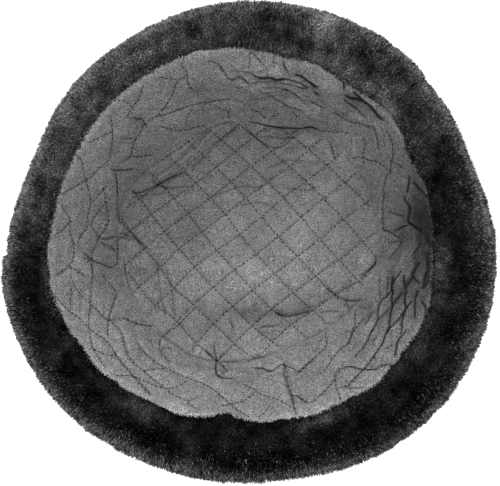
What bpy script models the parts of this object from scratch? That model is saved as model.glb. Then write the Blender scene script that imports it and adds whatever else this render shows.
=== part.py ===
"""Ushanka lying upside down on its crown, with its visor and ear flaps turned up.

+Z is up through the opening, and the origin is on the floor under the middle of the crown.
The hat's front is at -Y. Sizes are in millimetres until a mesh is made in metres.
"""

import math

import bmesh
import bpy
import numpy as np

MM = 0.001

RIM = 112  # height of the seam where the lining meets the fur
CLOTH = 1.4
QUILT = 2.0
GAP = 0.4  # clearance between neighbouring pieces
BACKING_GAP = 0.6  # clearance between the cloth and the fur side of a flap
SHOULDER = 5.0  # radius of the rounded edge between crown top and wall
LINING_COVER = 1.5  # how far the fur's inner edge hangs over the lining

# Azimuths are in degrees from +X towards +Y, radii in millimetres.
# azimuth, radius of the opening, radius of the seam round the tip
WALL_SECTIONS = (
    (0, 101, 75),
    (20, 97, 74),
    (40, 91.5, 74),
    (60, 88, 70.5),
    (80, 88.5, 66),
    (100, 90.5, 65.5),
    (120, 93, 69),
    (140, 92.5, 74),
    (160, 90.5, 75.5),
    (180, 90.5, 76),
    (200, 92.5, 76),
    (220, 93, 75),
    (240, 94.5, 70),
    (260, 98, 72),
    (280, 98.5, 71.5),
    (300, 98.5, 73.5),
    (320, 98, 78),
    (340, 100, 78),
)

# azimuth, radius of the fur's outline, height of the turned-up flap
FLAP_SECTIONS = (
    (-15.8, 122.5, 50),
    (-11, 124, 77),
    (-4, 124.5, 89),
    (8, 124.5, 94),
    (24, 123.5, 94),
    (42, 120.5, 88),
    (60, 119, 80),
    (80, 118.5, 77),
    (100, 122.5, 77),
    (120, 124.5, 81),
    (140, 124, 89),
    (160, 121.5, 94),
    (180, 117, 94),
    (193, 118, 87),
    (200, 118.5, 73),
    (203.6, 118.5, 50),
)
VISOR_SECTIONS = (
    (204.4, 120, 44),
    (209, 120.5, 64),
    (217, 121, 72),
    (240, 120, 74),
    (260, 119, 74),
    (280, 117.5, 74),
    (300, 117, 74),
    (320, 115, 74),
    (332, 117.5, 71),
    (339, 119.5, 63),
    (343.4, 120.5, 44),
)

# Fur length on the way from the rim seam, 0, to the flap's free edge, 1
# way, length
PILE = (
    (0.0, 3.5),
    (0.08, 5.5),
    (0.2, 8.0),
    (0.35, 9.0),
    (0.9, 9.0),
    (1.0, 3.5),
)

# Folds that the soft lining makes towards the inside of the hat
# azimuth, height above the floor, turn from level in degrees, length, width, depth
WALL_FOLDS = (
    (238, 86, -4, 46, 9, 7.0),
    (246, 64, 5, 40, 9, 6.0),
    (228, 42, 14, 36, 9, 5.0),
    (212, 74, -30, 34, 9, 4.0),
    (140, 80, 12, 44, 9, 6.0),
    (146, 60, -8, 48, 9, 6.0),
    (134, 42, 10, 40, 8, 4.5),
    (172, 70, 80, 34, 10, 4.0),
    (350, 60, 85, 44, 12, 3.0),
    (60, 36, 6, 44, 10, 4.0),
    (300, 70, 60, 36, 10, 3.0),
)

QUILTS_ROUND = 26  # quilted diamonds round the lining wall
QUILT_ROWS = 7  # half diamonds from the tip seam to the rim
QUILT_PUFF = 2.0
TIP_QUILT_ACROSS = 11.2  # half diagonals of the tip's diamonds
TIP_QUILT_ALONG = 10.1
TIP_QUILT_AZIMUTH = 157
TIP_QUILT_MIDDLE = (4.1, 3.7)  # middle of one diamond, across and along
TIP_OUTLINE_STEPS = 72

FOLD_ROWS = 5  # rows over the rim, and down the hanging part of a flap
HANG_ROWS = 8
FLAP_COLUMNS = 52
VISOR_COLUMNS = 32
FOLD_RISE = 6.5
FOLD_FALL = 4.0
HEM_CLEARANCE = 12.0  # from the crown wall to the free edge of a flap
LOCK_RISE = 1.2  # lock tips stand above the mean pile, and the valleys lie below it
LOCK_VALLEY = 1.6
LOCK_LEAN = 3.4
LOCK_UNEVEN = 0.7  # locks differ by this much
SEED = 7

COLOURS = {
    "crown_cloth": ((0.022, 0.022, 0.023), 0.85),
    "quilted_lining": ((0.19, 0.19, 0.19), 0.9),
    "flap_cloth": ((0.02, 0.02, 0.021), 0.85),
    "fur": ((0.012, 0.012, 0.012), 0.7),
}


def clear_scene():
    for item in list(bpy.data.objects):
        bpy.data.objects.remove(item, do_unlink=True)


def material(name):
    colour, roughness = COLOURS[name]
    made = bpy.data.materials.get(name) or bpy.data.materials.new(name)
    made.use_nodes = True
    shader = made.node_tree.nodes["Principled BSDF"]
    shader.inputs["Base Color"].default_value = (*colour, 1)
    shader.inputs["Roughness"].default_value = roughness
    shader.inputs["Metallic"].default_value = 0
    made.diffuse_color = (*colour, 1)
    return made


def add_object(name, mesh, material_name):
    made = bpy.data.objects.new(name, mesh)
    bpy.context.scene.collection.objects.link(made)
    mesh.materials.append(material(material_name))
    return made


def mesh_from(name, points, faces):
    """Mesh in metres from points in millimetres, with its faces turned outwards."""
    mesh = bpy.data.meshes.new(name)
    mesh.from_pydata((np.asarray(points) * MM).tolist(), [], faces)
    shape = bmesh.new()
    shape.from_mesh(mesh)
    bmesh.ops.recalc_face_normals(shape, faces=shape.faces)
    shape.to_mesh(mesh)
    shape.free()
    return mesh


def smooth(table, column, at, period=None):
    """Smooth curve through one column of a table, closed round the hat where a period is given."""
    rows = np.array(table, float)
    places, values = rows[:, 0], rows[:, column]
    if period:
        places = np.concatenate([places - period, places, places + period])
        values = np.tile(values, 3)
    slopes = np.gradient(values, places)
    k = np.clip(np.searchsorted(places, at, side="right") - 1, 0, len(places) - 2)
    span = places[k + 1] - places[k]
    t = (at - places[k]) / span
    start = (1 + 2 * t) * (1 - t) ** 2 * values[k] + t * (1 - t) ** 2 * span * slopes[k]
    end = t**2 * (3 - 2 * t) * values[k + 1] + t**2 * (t - 1) * span * slopes[k + 1]
    return start + end


def opening_radius(azimuth):
    return smooth(WALL_SECTIONS, 1, np.mod(azimuth, 360), 360)


def tip_radius(azimuth):
    return smooth(WALL_SECTIONS, 2, np.mod(azimuth, 360), 360)


def lining_radius(azimuth, height):
    """Inner face of the lining wall before folds, at a height above the floor."""
    way = np.clip((height - CLOTH - GAP - QUILT) / (RIM - CLOTH - GAP - QUILT), 0, 1)
    low = tip_radius(azimuth) + GAP
    high = opening_radius(azimuth) + LINING_COVER
    return low + (high - low) * way + 3 * np.sin(math.pi * way)


def crown_radius(azimuth, height):
    """Outer face of the crown wall above its rounded edge."""
    return lining_radius(azimuth, height) + QUILT + GAP + CLOTH


def fold_depth(azimuth, height):
    depth = np.zeros(np.broadcast(azimuth, height).shape)
    for middle, level, turn, length, width, rise in WALL_FOLDS:
        round_way = (np.mod(azimuth - middle + 180, 360) - 180) * math.radians(1) * opening_radius(middle)
        up = height - level
        along = round_way * math.cos(math.radians(turn)) + up * math.sin(math.radians(turn))
        across = up * math.cos(math.radians(turn)) - round_way * math.sin(math.radians(turn))
        depth += rise * np.exp(-((along / length * 2) ** 2) - (across / width) ** 2)
    rim_ease = np.clip((RIM - height) / 12, 0, 1)
    tip_ease = np.clip(height / 20, 0, 1)
    return depth * rim_ease * tip_ease


def round_points(azimuth, radius, height):
    """Points in space from arrays of azimuth, radius and height."""
    turn = np.radians(azimuth)
    return np.stack(np.broadcast_arrays(radius * np.cos(turn), radius * np.sin(turn), height), axis=-1)


def closed_shell(name, outer, inner, wrap, material_name):
    """Closed solid between two grids of points, columns by rows, whose seams run corner to corner."""
    columns, rows = outer.shape[:2]
    points = np.concatenate([outer.reshape(-1, 3), inner.reshape(-1, 3)])
    inside = columns * rows
    faces = []
    for i in range(columns if wrap else columns - 1):
        left, right = i * rows, (i + 1) % columns * rows
        for j in range(rows - 1):
            a, b, c, d = left + j, right + j, right + j + 1, left + j + 1
            split = ((a, b, c), (a, c, d)) if (i + j) % 2 == 0 else ((a, b, d), (b, c, d))
            for face in split:
                faces.append(face)
                faces.append(tuple(inside + k for k in reversed(face)))
        for j in (0, rows - 1):
            faces.append((left + j, right + j, inside + right + j, inside + left + j))
    if not wrap:
        for i in (0, columns - 1):
            for j in range(rows - 1):
                a, b = i * rows + j, i * rows + j + 1
                faces.append((a, b, inside + b, inside + a))
    return add_object(name, mesh_from(name, points, faces), material_name)


def tip_outline(inset):
    azimuth = np.arange(TIP_OUTLINE_STEPS) * 360 / TIP_OUTLINE_STEPS
    return round_points(azimuth, tip_radius(azimuth) - inset, 0)[:, :2]


def prism(name, outline, low, high):
    count = len(outline)
    points = [(*p, low) for p in outline] + [(*p, high) for p in outline]
    faces = [tuple(range(count)), tuple(range(count, 2 * count))]
    faces += [(k, (k + 1) % count, count + (k + 1) % count, count + k) for k in range(count)]
    return mesh_from(name, points, faces)


def crown_top():
    mesh = prism("crown_top", tip_outline(1 + GAP), 0, CLOTH)
    add_object("crown_top", mesh, "crown_cloth")


def crown_wall():
    """Rounded edge from the crown top, then the side wall up to the rim."""
    azimuth = np.arange(2 * QUILTS_ROUND)[:, None] * 180 / QUILTS_ROUND
    edge_turn = np.radians(np.array([0, 30, 60]))
    edge_height = CLOTH / 2 + SHOULDER * (1 - np.cos(edge_turn))
    edge_radius = tip_radius(azimuth) - 1 + SHOULDER * np.sin(edge_turn) * 0.9
    wall_height = np.array([7, 22, 42, 64, 88, RIM])
    wall_radius = crown_radius(azimuth, wall_height) - CLOTH / 2
    radius = np.concatenate([edge_radius, wall_radius], axis=1)
    height = np.broadcast_to(np.concatenate([edge_height, wall_height]), radius.shape)
    level = np.gradient(radius, axis=1)
    rise = np.gradient(height, axis=1)
    length = np.hypot(level, rise)
    level, rise = level / length, rise / length
    level[:, 0], rise[:, 0] = 1, 0
    level[:, -1], rise[:, -1] = 0, 1
    half = CLOTH / 2
    outer = round_points(azimuth, radius + rise * half, height - level * half)
    inner = round_points(azimuth, radius - rise * half, height + level * half)
    closed_shell("crown_wall", outer, inner, True, "crown_cloth")


def lining_wall():
    """Side band whose diamonds puff inwards between seams that run corner to corner."""
    azimuth = np.arange(2 * QUILTS_ROUND)[:, None] * 180 / QUILTS_ROUND
    low = CLOTH + QUILT + 2 * GAP
    height = np.linspace(low, RIM, QUILT_ROWS + 1)[None, :]
    back = lining_radius(azimuth, height) + QUILT - fold_depth(azimuth, height)
    odd = np.add.outer(np.arange(2 * QUILTS_ROUND), np.arange(QUILT_ROWS + 1)) % 2
    odd[:, [0, -1]] = 0
    face = back - QUILT - QUILT_PUFF * odd
    outer = round_points(azimuth, back, height)
    inner = round_points(azimuth, face, height)
    closed_shell("lining_wall", outer, inner, True, "quilted_lining")


def lining_top():
    """Quilted slab cut to the outline of the tip seam."""
    across = np.arange(-8, 9) * TIP_QUILT_ACROSS + TIP_QUILT_MIDDLE[0]
    along = np.arange(-9, 10) * TIP_QUILT_ALONG + TIP_QUILT_MIDDLE[1]
    turn = math.radians(TIP_QUILT_AZIMUTH)
    x = across[:, None] * math.cos(turn) - along[None, :] * math.sin(turn)
    y = across[:, None] * math.sin(turn) + along[None, :] * math.cos(turn)
    odd = np.add.outer(np.arange(len(across)), np.arange(len(along))) % 2
    low = np.full(x.shape, CLOTH + GAP)
    face = np.stack([x, y, low + QUILT + QUILT_PUFF * odd], axis=-1)
    under = np.stack([x, y, low], axis=-1)
    slab = closed_shell("lining_top", face, under, False, "quilted_lining")
    cutter = bpy.data.objects.new("tip_cutter", prism("tip_cutter", tip_outline(0), -10, 30))
    bpy.context.scene.collection.objects.link(cutter)
    cutter.hide_render = True
    cutter.display_type = "WIRE"
    trim = slab.modifiers.new("trim_to_seam", "BOOLEAN")
    trim.operation = "INTERSECT"
    trim.object = cutter
    trim.solver = "EXACT"


def flap_skin(sections, columns):
    """Leather side of the fur: over the rim, then down outside the crown. Also its outward normals."""
    azimuth = np.linspace(sections[0][0], sections[-1][0], columns + 1)[:, None]
    drop = smooth(sections, 2, azimuth)
    pile = max(length for _, length in PILE)
    skin = smooth(sections, 1, azimuth) - pile
    start = opening_radius(azimuth) + PILE[0][1]
    turn = np.linspace(0, math.pi, FOLD_ROWS + 1)[None, :]
    half_width = (skin - start) / 2
    rise = np.minimum(FOLD_RISE, 3 + half_width)
    over_radius = start + half_width * (1 - np.cos(turn))
    over_height = RIM + GAP + rise * np.sin(turn) - (FOLD_FALL + GAP) * turn / math.pi
    way = (np.arange(HANG_ROWS) + 1)[None, :] / HANG_ROWS
    hem = crown_radius(azimuth, RIM - drop) + HEM_CLEARANCE
    hang_radius = skin + np.sin(math.pi * way) - (skin - hem) * way**1.6
    hang_height = RIM - FOLD_FALL - (drop - FOLD_FALL) * way
    radius = np.concatenate([over_radius, hang_radius], axis=1)
    height = np.concatenate([over_height, hang_height], axis=1)
    level, rise = np.gradient(radius, axis=1), np.gradient(height, axis=1)
    length = np.hypot(level, rise)
    out_level, out_rise = -rise / length, level / length
    out_level[:, 0], out_rise[:, 0] = -1, 0
    return azimuth, radius, height, out_level, out_rise


def flap_backing(name, sections, columns):
    """Cloth side of a flap, with half the columns of its fur."""
    azimuth, radius, height, level, rise = (part[::2] for part in flap_skin(sections, columns))
    near, far = BACKING_GAP, BACKING_GAP + CLOTH
    outer = round_points(azimuth, radius - level * near, height - rise * near)
    inner = round_points(azimuth, radius - level * far, height - rise * far)
    closed_shell(name, outer, inner, False, "flap_cloth")


def flap_fur(name, sections, columns):
    """Fur side of a flap: staggered locks, joined at their roots, that lean towards the free edge."""
    azimuth, radius, height, level, rise = flap_skin(sections, columns)
    rows = radius.shape[1]
    way = np.linspace(0, 1, rows)
    pile = np.interp(way, *np.array(PILE).T)[None, :]
    tip = np.add.outer(np.arange(columns + 1), np.arange(rows)) % 2
    loose = np.interp(way, (0, 0.15, 1), (0.3, 1, 1))[None, :]
    length = pile + loose * np.where(tip == 1, LOCK_RISE, -LOCK_VALLEY)
    side = np.minimum(np.arange(columns + 1), np.arange(columns + 1)[::-1])[:, None]
    uneven = np.random.default_rng(SEED).uniform(-LOCK_UNEVEN, LOCK_UNEVEN, length.shape)
    length = np.maximum((length + tip * uneven) * np.interp(side, (0, 1), (0.7, 1)), 1.2)
    lean = LOCK_LEAN * tip * np.interp(way, (0, 0.4, 1), (0, 1, 1.3))[None, :]
    tip_radius_out = radius + level * length + rise * lean
    tip_height = height + rise * length - level * lean
    outer = round_points(azimuth, tip_radius_out, tip_height)
    inner = round_points(azimuth, radius, height)
    closed_shell(name, outer, inner, False, "fur")


def main():
    clear_scene()
    crown_top()
    crown_wall()
    lining_top()
    lining_wall()
    flap_backing("flap_backing", FLAP_SECTIONS, FLAP_COLUMNS)
    flap_fur("flap_fur", FLAP_SECTIONS, FLAP_COLUMNS)
    flap_backing("visor_backing", VISOR_SECTIONS, VISOR_COLUMNS)
    flap_fur("visor_fur", VISOR_SECTIONS, VISOR_COLUMNS)


main()
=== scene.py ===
"""Looks of an ushanka lying upside down on its crown, with its visor and ear flaps turned up.

Sizes are in millimetres until a mesh is made in metres. Azimuths are in degrees from +X towards +Y.
Places in the photograph are in its pixels, to the right and down from its top left corner.
"""

import math

import bmesh
import bpy
import numpy as np
from mathutils import Matrix, Vector
from mathutils.bvhtree import BVHTree


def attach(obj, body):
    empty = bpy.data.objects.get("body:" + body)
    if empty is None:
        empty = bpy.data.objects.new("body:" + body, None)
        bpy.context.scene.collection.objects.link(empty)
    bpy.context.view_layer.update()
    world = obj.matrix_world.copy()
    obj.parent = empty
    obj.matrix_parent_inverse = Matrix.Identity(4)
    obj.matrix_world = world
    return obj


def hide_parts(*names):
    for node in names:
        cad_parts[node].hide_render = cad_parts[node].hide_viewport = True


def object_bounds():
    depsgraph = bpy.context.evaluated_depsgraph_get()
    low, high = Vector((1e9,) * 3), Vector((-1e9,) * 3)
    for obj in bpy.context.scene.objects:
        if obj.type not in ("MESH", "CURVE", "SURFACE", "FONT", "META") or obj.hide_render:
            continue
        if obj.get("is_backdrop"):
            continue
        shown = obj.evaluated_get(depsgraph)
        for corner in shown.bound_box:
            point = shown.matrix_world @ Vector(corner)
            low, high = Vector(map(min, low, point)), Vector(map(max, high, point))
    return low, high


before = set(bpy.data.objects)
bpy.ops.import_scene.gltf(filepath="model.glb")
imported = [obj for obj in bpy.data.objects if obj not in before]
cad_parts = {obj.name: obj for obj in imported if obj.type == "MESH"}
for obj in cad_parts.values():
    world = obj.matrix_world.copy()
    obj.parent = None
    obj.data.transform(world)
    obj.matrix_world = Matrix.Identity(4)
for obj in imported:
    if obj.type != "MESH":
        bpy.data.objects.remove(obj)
CAD_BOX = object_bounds()

MM = 0.001

# Camera and photograph
PHOTO_WIDTH = 500
PHOTO_MIDDLE = (250, 243)  # where the hat's axis is
PHOTO_RIGHT = 160  # azimuth that points to the right in the photograph
CAMERA_HEIGHT = 712
FOCAL_PIXELS = 1212
SENSOR_WIDTH = 36

# Sizes that the CAD model has too
RIM = 112  # height of the seam where the lining meets the fur
CLOTH = 1.4
QUILT = 2.0
GAP = 0.4
BACKING_GAP = 0.6
TIP_LEVEL = CLOTH + GAP + QUILT  # height of the lining's tip at its seams
SHOULDER = 5.0
LINING_COVER = 1.5
FOLD_RISE = 6.5
FOLD_FALL = 4.0
HEM_CLEARANCE = 12.0

# azimuth, radius of the opening, radius of the seam round the tip
WALL_SECTIONS = (
    (0, 101, 75),
    (20, 97, 74),
    (40, 91.5, 74),
    (60, 88, 70.5),
    (80, 88.5, 66),
    (100, 90.5, 65.5),
    (120, 93, 69),
    (140, 92.5, 74),
    (160, 90.5, 75.5),
    (180, 90.5, 76),
    (200, 92.5, 76),
    (220, 93, 75),
    (240, 94.5, 70),
    (260, 98, 72),
    (280, 98.5, 71.5),
    (300, 98.5, 73.5),
    (320, 98, 78),
    (340, 100, 78),
)

# azimuth, radius of the fur's outline, height of the turned-up flap
FLAP_SECTIONS = (
    (-15.8, 122.5, 50),
    (-11, 124, 77),
    (-4, 124.5, 89),
    (8, 124.5, 94),
    (24, 123.5, 94),
    (42, 120.5, 88),
    (60, 119, 80),
    (80, 118.5, 77),
    (100, 122.5, 77),
    (120, 124.5, 81),
    (140, 124, 89),
    (160, 121.5, 94),
    (180, 117, 94),
    (193, 118, 87),
    (200, 118.5, 73),
    (203.6, 118.5, 50),
)
VISOR_SECTIONS = (
    (204.4, 120, 44),
    (209, 120.5, 64),
    (217, 121, 72),
    (240, 120, 74),
    (260, 119, 74),
    (280, 117.5, 74),
    (300, 117, 74),
    (320, 115, 74),
    (332, 117.5, 71),
    (339, 119.5, 63),
    (343.4, 120.5, 44),
)

FLAPS = {"flap": FLAP_SECTIONS, "visor": VISOR_SECTIONS}

# way from the rim seam, 0, to a flap's free edge, 1, and fur length there
PILE = (
    (0.0, 3.5),
    (0.08, 5.5),
    (0.2, 8.0),
    (0.35, 9.0),
    (0.9, 9.0),
    (1.0, 3.5),
)

# Folds that the soft lining makes towards the inside of the hat
# azimuth, height above the floor, turn from level in degrees, length, width, depth
WALL_FOLDS = (
    (238, 86, -4, 46, 9, 7.0),
    (246, 64, 5, 40, 9, 6.0),
    (228, 42, 14, 36, 9, 5.0),
    (212, 74, -30, 34, 9, 4.0),
    (140, 80, 12, 44, 9, 6.0),
    (146, 60, -8, 48, 9, 6.0),
    (134, 42, 10, 40, 8, 4.5),
    (172, 70, 80, 34, 10, 4.0),
    (350, 60, 85, 44, 12, 3.0),
    (60, 36, 6, 44, 10, 4.0),
    (300, 70, 60, 36, 10, 3.0),
)

# Quilting
TIP_PUFF = 1.4
WALL_PUFF = 1.1
WRINKLES = ((17, 0.45), (8, 0.35), (4, 0.2))  # size of the little wrinkles, and share of their height
TIP_CRUMPLE = 0.9  # height of the little wrinkles
WALL_CRUMPLE = 1.7
TIP_SWAY = 0.8
SEAM_SPACING = 14.5
TIP_SEAM_NUMBERS = (-4, 13)  # the tip's seams lie well within these numbers
TIP_DEPTH = 0.6  # share of a crease's depth that it has on the tip
WALL_DEPTH = 0.35  # share of a crease's depth that it has on the steep wall
SEAM_HALF_WIDTH = 2.6
SEAM_GROOVE = 0.25
STITCH_PITCH = 4.6  # pixels in the photograph from one stitch to the next
STITCH_SHARE = 0.68  # share of that which the stitch takes
STITCH_LONGEST = 5.0
STITCH_HALF_WIDTH = 0.3
STITCH_SIDES = 4
CURVE_STEPS = 12  # places on a curve for each of its points
LINE_REACH = 12  # pixels from a line within which it changes the cloth
LINE_ENDS = 3.5  # pixels over which a line grows to its full depth at each end
TIP_RISE = 3.4  # how far the tip curves up to the wall at its seam
WALL_LOW = TIP_LEVEL + TIP_RISE - 0.2
FOOT_OVERLAP = 2.0  # how far the wall's foot comes in over the edge of the tip
RIM_ROLL = 0.8  # how far the wall bulges inwards just below the rim
ROLLED_SIDE = 300  # azimuth where it does so most
TIP_CELLS = 290
WALL_COLUMNS = 1120
WALL_ROWS = 82
HIDDEN_SHARE = 0.25  # share of its rows that the underside of a fold gets, where it is hidden from above
CREASED_SIDE = 175  # azimuth where the wall has most creases, and needs its columns closest together
CROWDING = 0.24  # how much closer together the columns are there

# How much darker the lining is, as a share of its lightness: painted shade in its creases, seams and
# wrinkles, and painted light on its ridges
CREASE_SHADE = 0.26  # in the faintest crease
DEPTH_SHADE = 0.32  # and for each millimetre of a crease's depth
RIDGE_SHADE = 0.09  # how much lighter it is on a ridge, for each millimetre of its height
STITCHED_SHADE = 0.75  # darkness of a stitched line beside that of a plain crease
TIP_SEAM_SHADES = (0.19, 0.11)  # in the tip's seams, those down to the right and those up to the right
WRINKLE_SHADE = 0.45  # in the sharpest little wrinkles
WRINKLE_LEVEL = 0.42  # height of the little wrinkles, as a share, below which that starts
# Painted shade: the tip is darker away from its painted pool of light
TIP_EDGE_SHADE = 0.13  # round the tip's light middle
TIP_SHADE = 0.02  # all over the tip
WALL_SHADE = -0.02  # all over the wall
SHADE_RANGE = (-0.5, 0.96)
SHADE_LOSS = 0.97  # share of its lightness that the cloth loses where its shade is 1

WEAVE_STRETCH = (1, 1, 0.3)  # the lining's weave looks drawn out on its wall, where it is pulled down

# Crossings of the tip's quilting seams, read in the photograph
# number of the seam that goes down to the right, number of the first seam that goes up to the
# right, and the crossings with that one and the following ones
TIP_CROSSINGS = (
    (0, 3, ((310, 150), (327, 166), (345, 182), (366, 203))),
    (1, 1, ((254, 136), (272, 152), (290, 168), (306, 180), (323, 197), (344, 218))),
    (2, 1, ((234, 151), (251, 166), (268, 182), (283, 196), (301, 217), (320, 240), (339, 260), (359, 282))),
    (3, 1, ((216, 167), (231, 182), (246, 198), (261, 217), (278, 238), (298, 257), (316, 276), (334, 295))),
    (4, 1, ((196, 184), (211, 198), (226, 213), (240, 236), (257, 254), (275, 274), (294, 294), (312, 310))),
    (5, 2, ((189, 213), (202, 233), (216, 250), (235, 270), (253, 291), (272, 310), (291, 323))),
    (6, 2, ((164, 232), (178, 248), (194, 266), (213, 288), (233, 306), (252, 326))),
    (7, 3, ((162, 268), (172, 290), (193, 305), (214, 323), (234, 345))),
    (8, 5, ((178, 320), (197, 345))),
)

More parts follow.
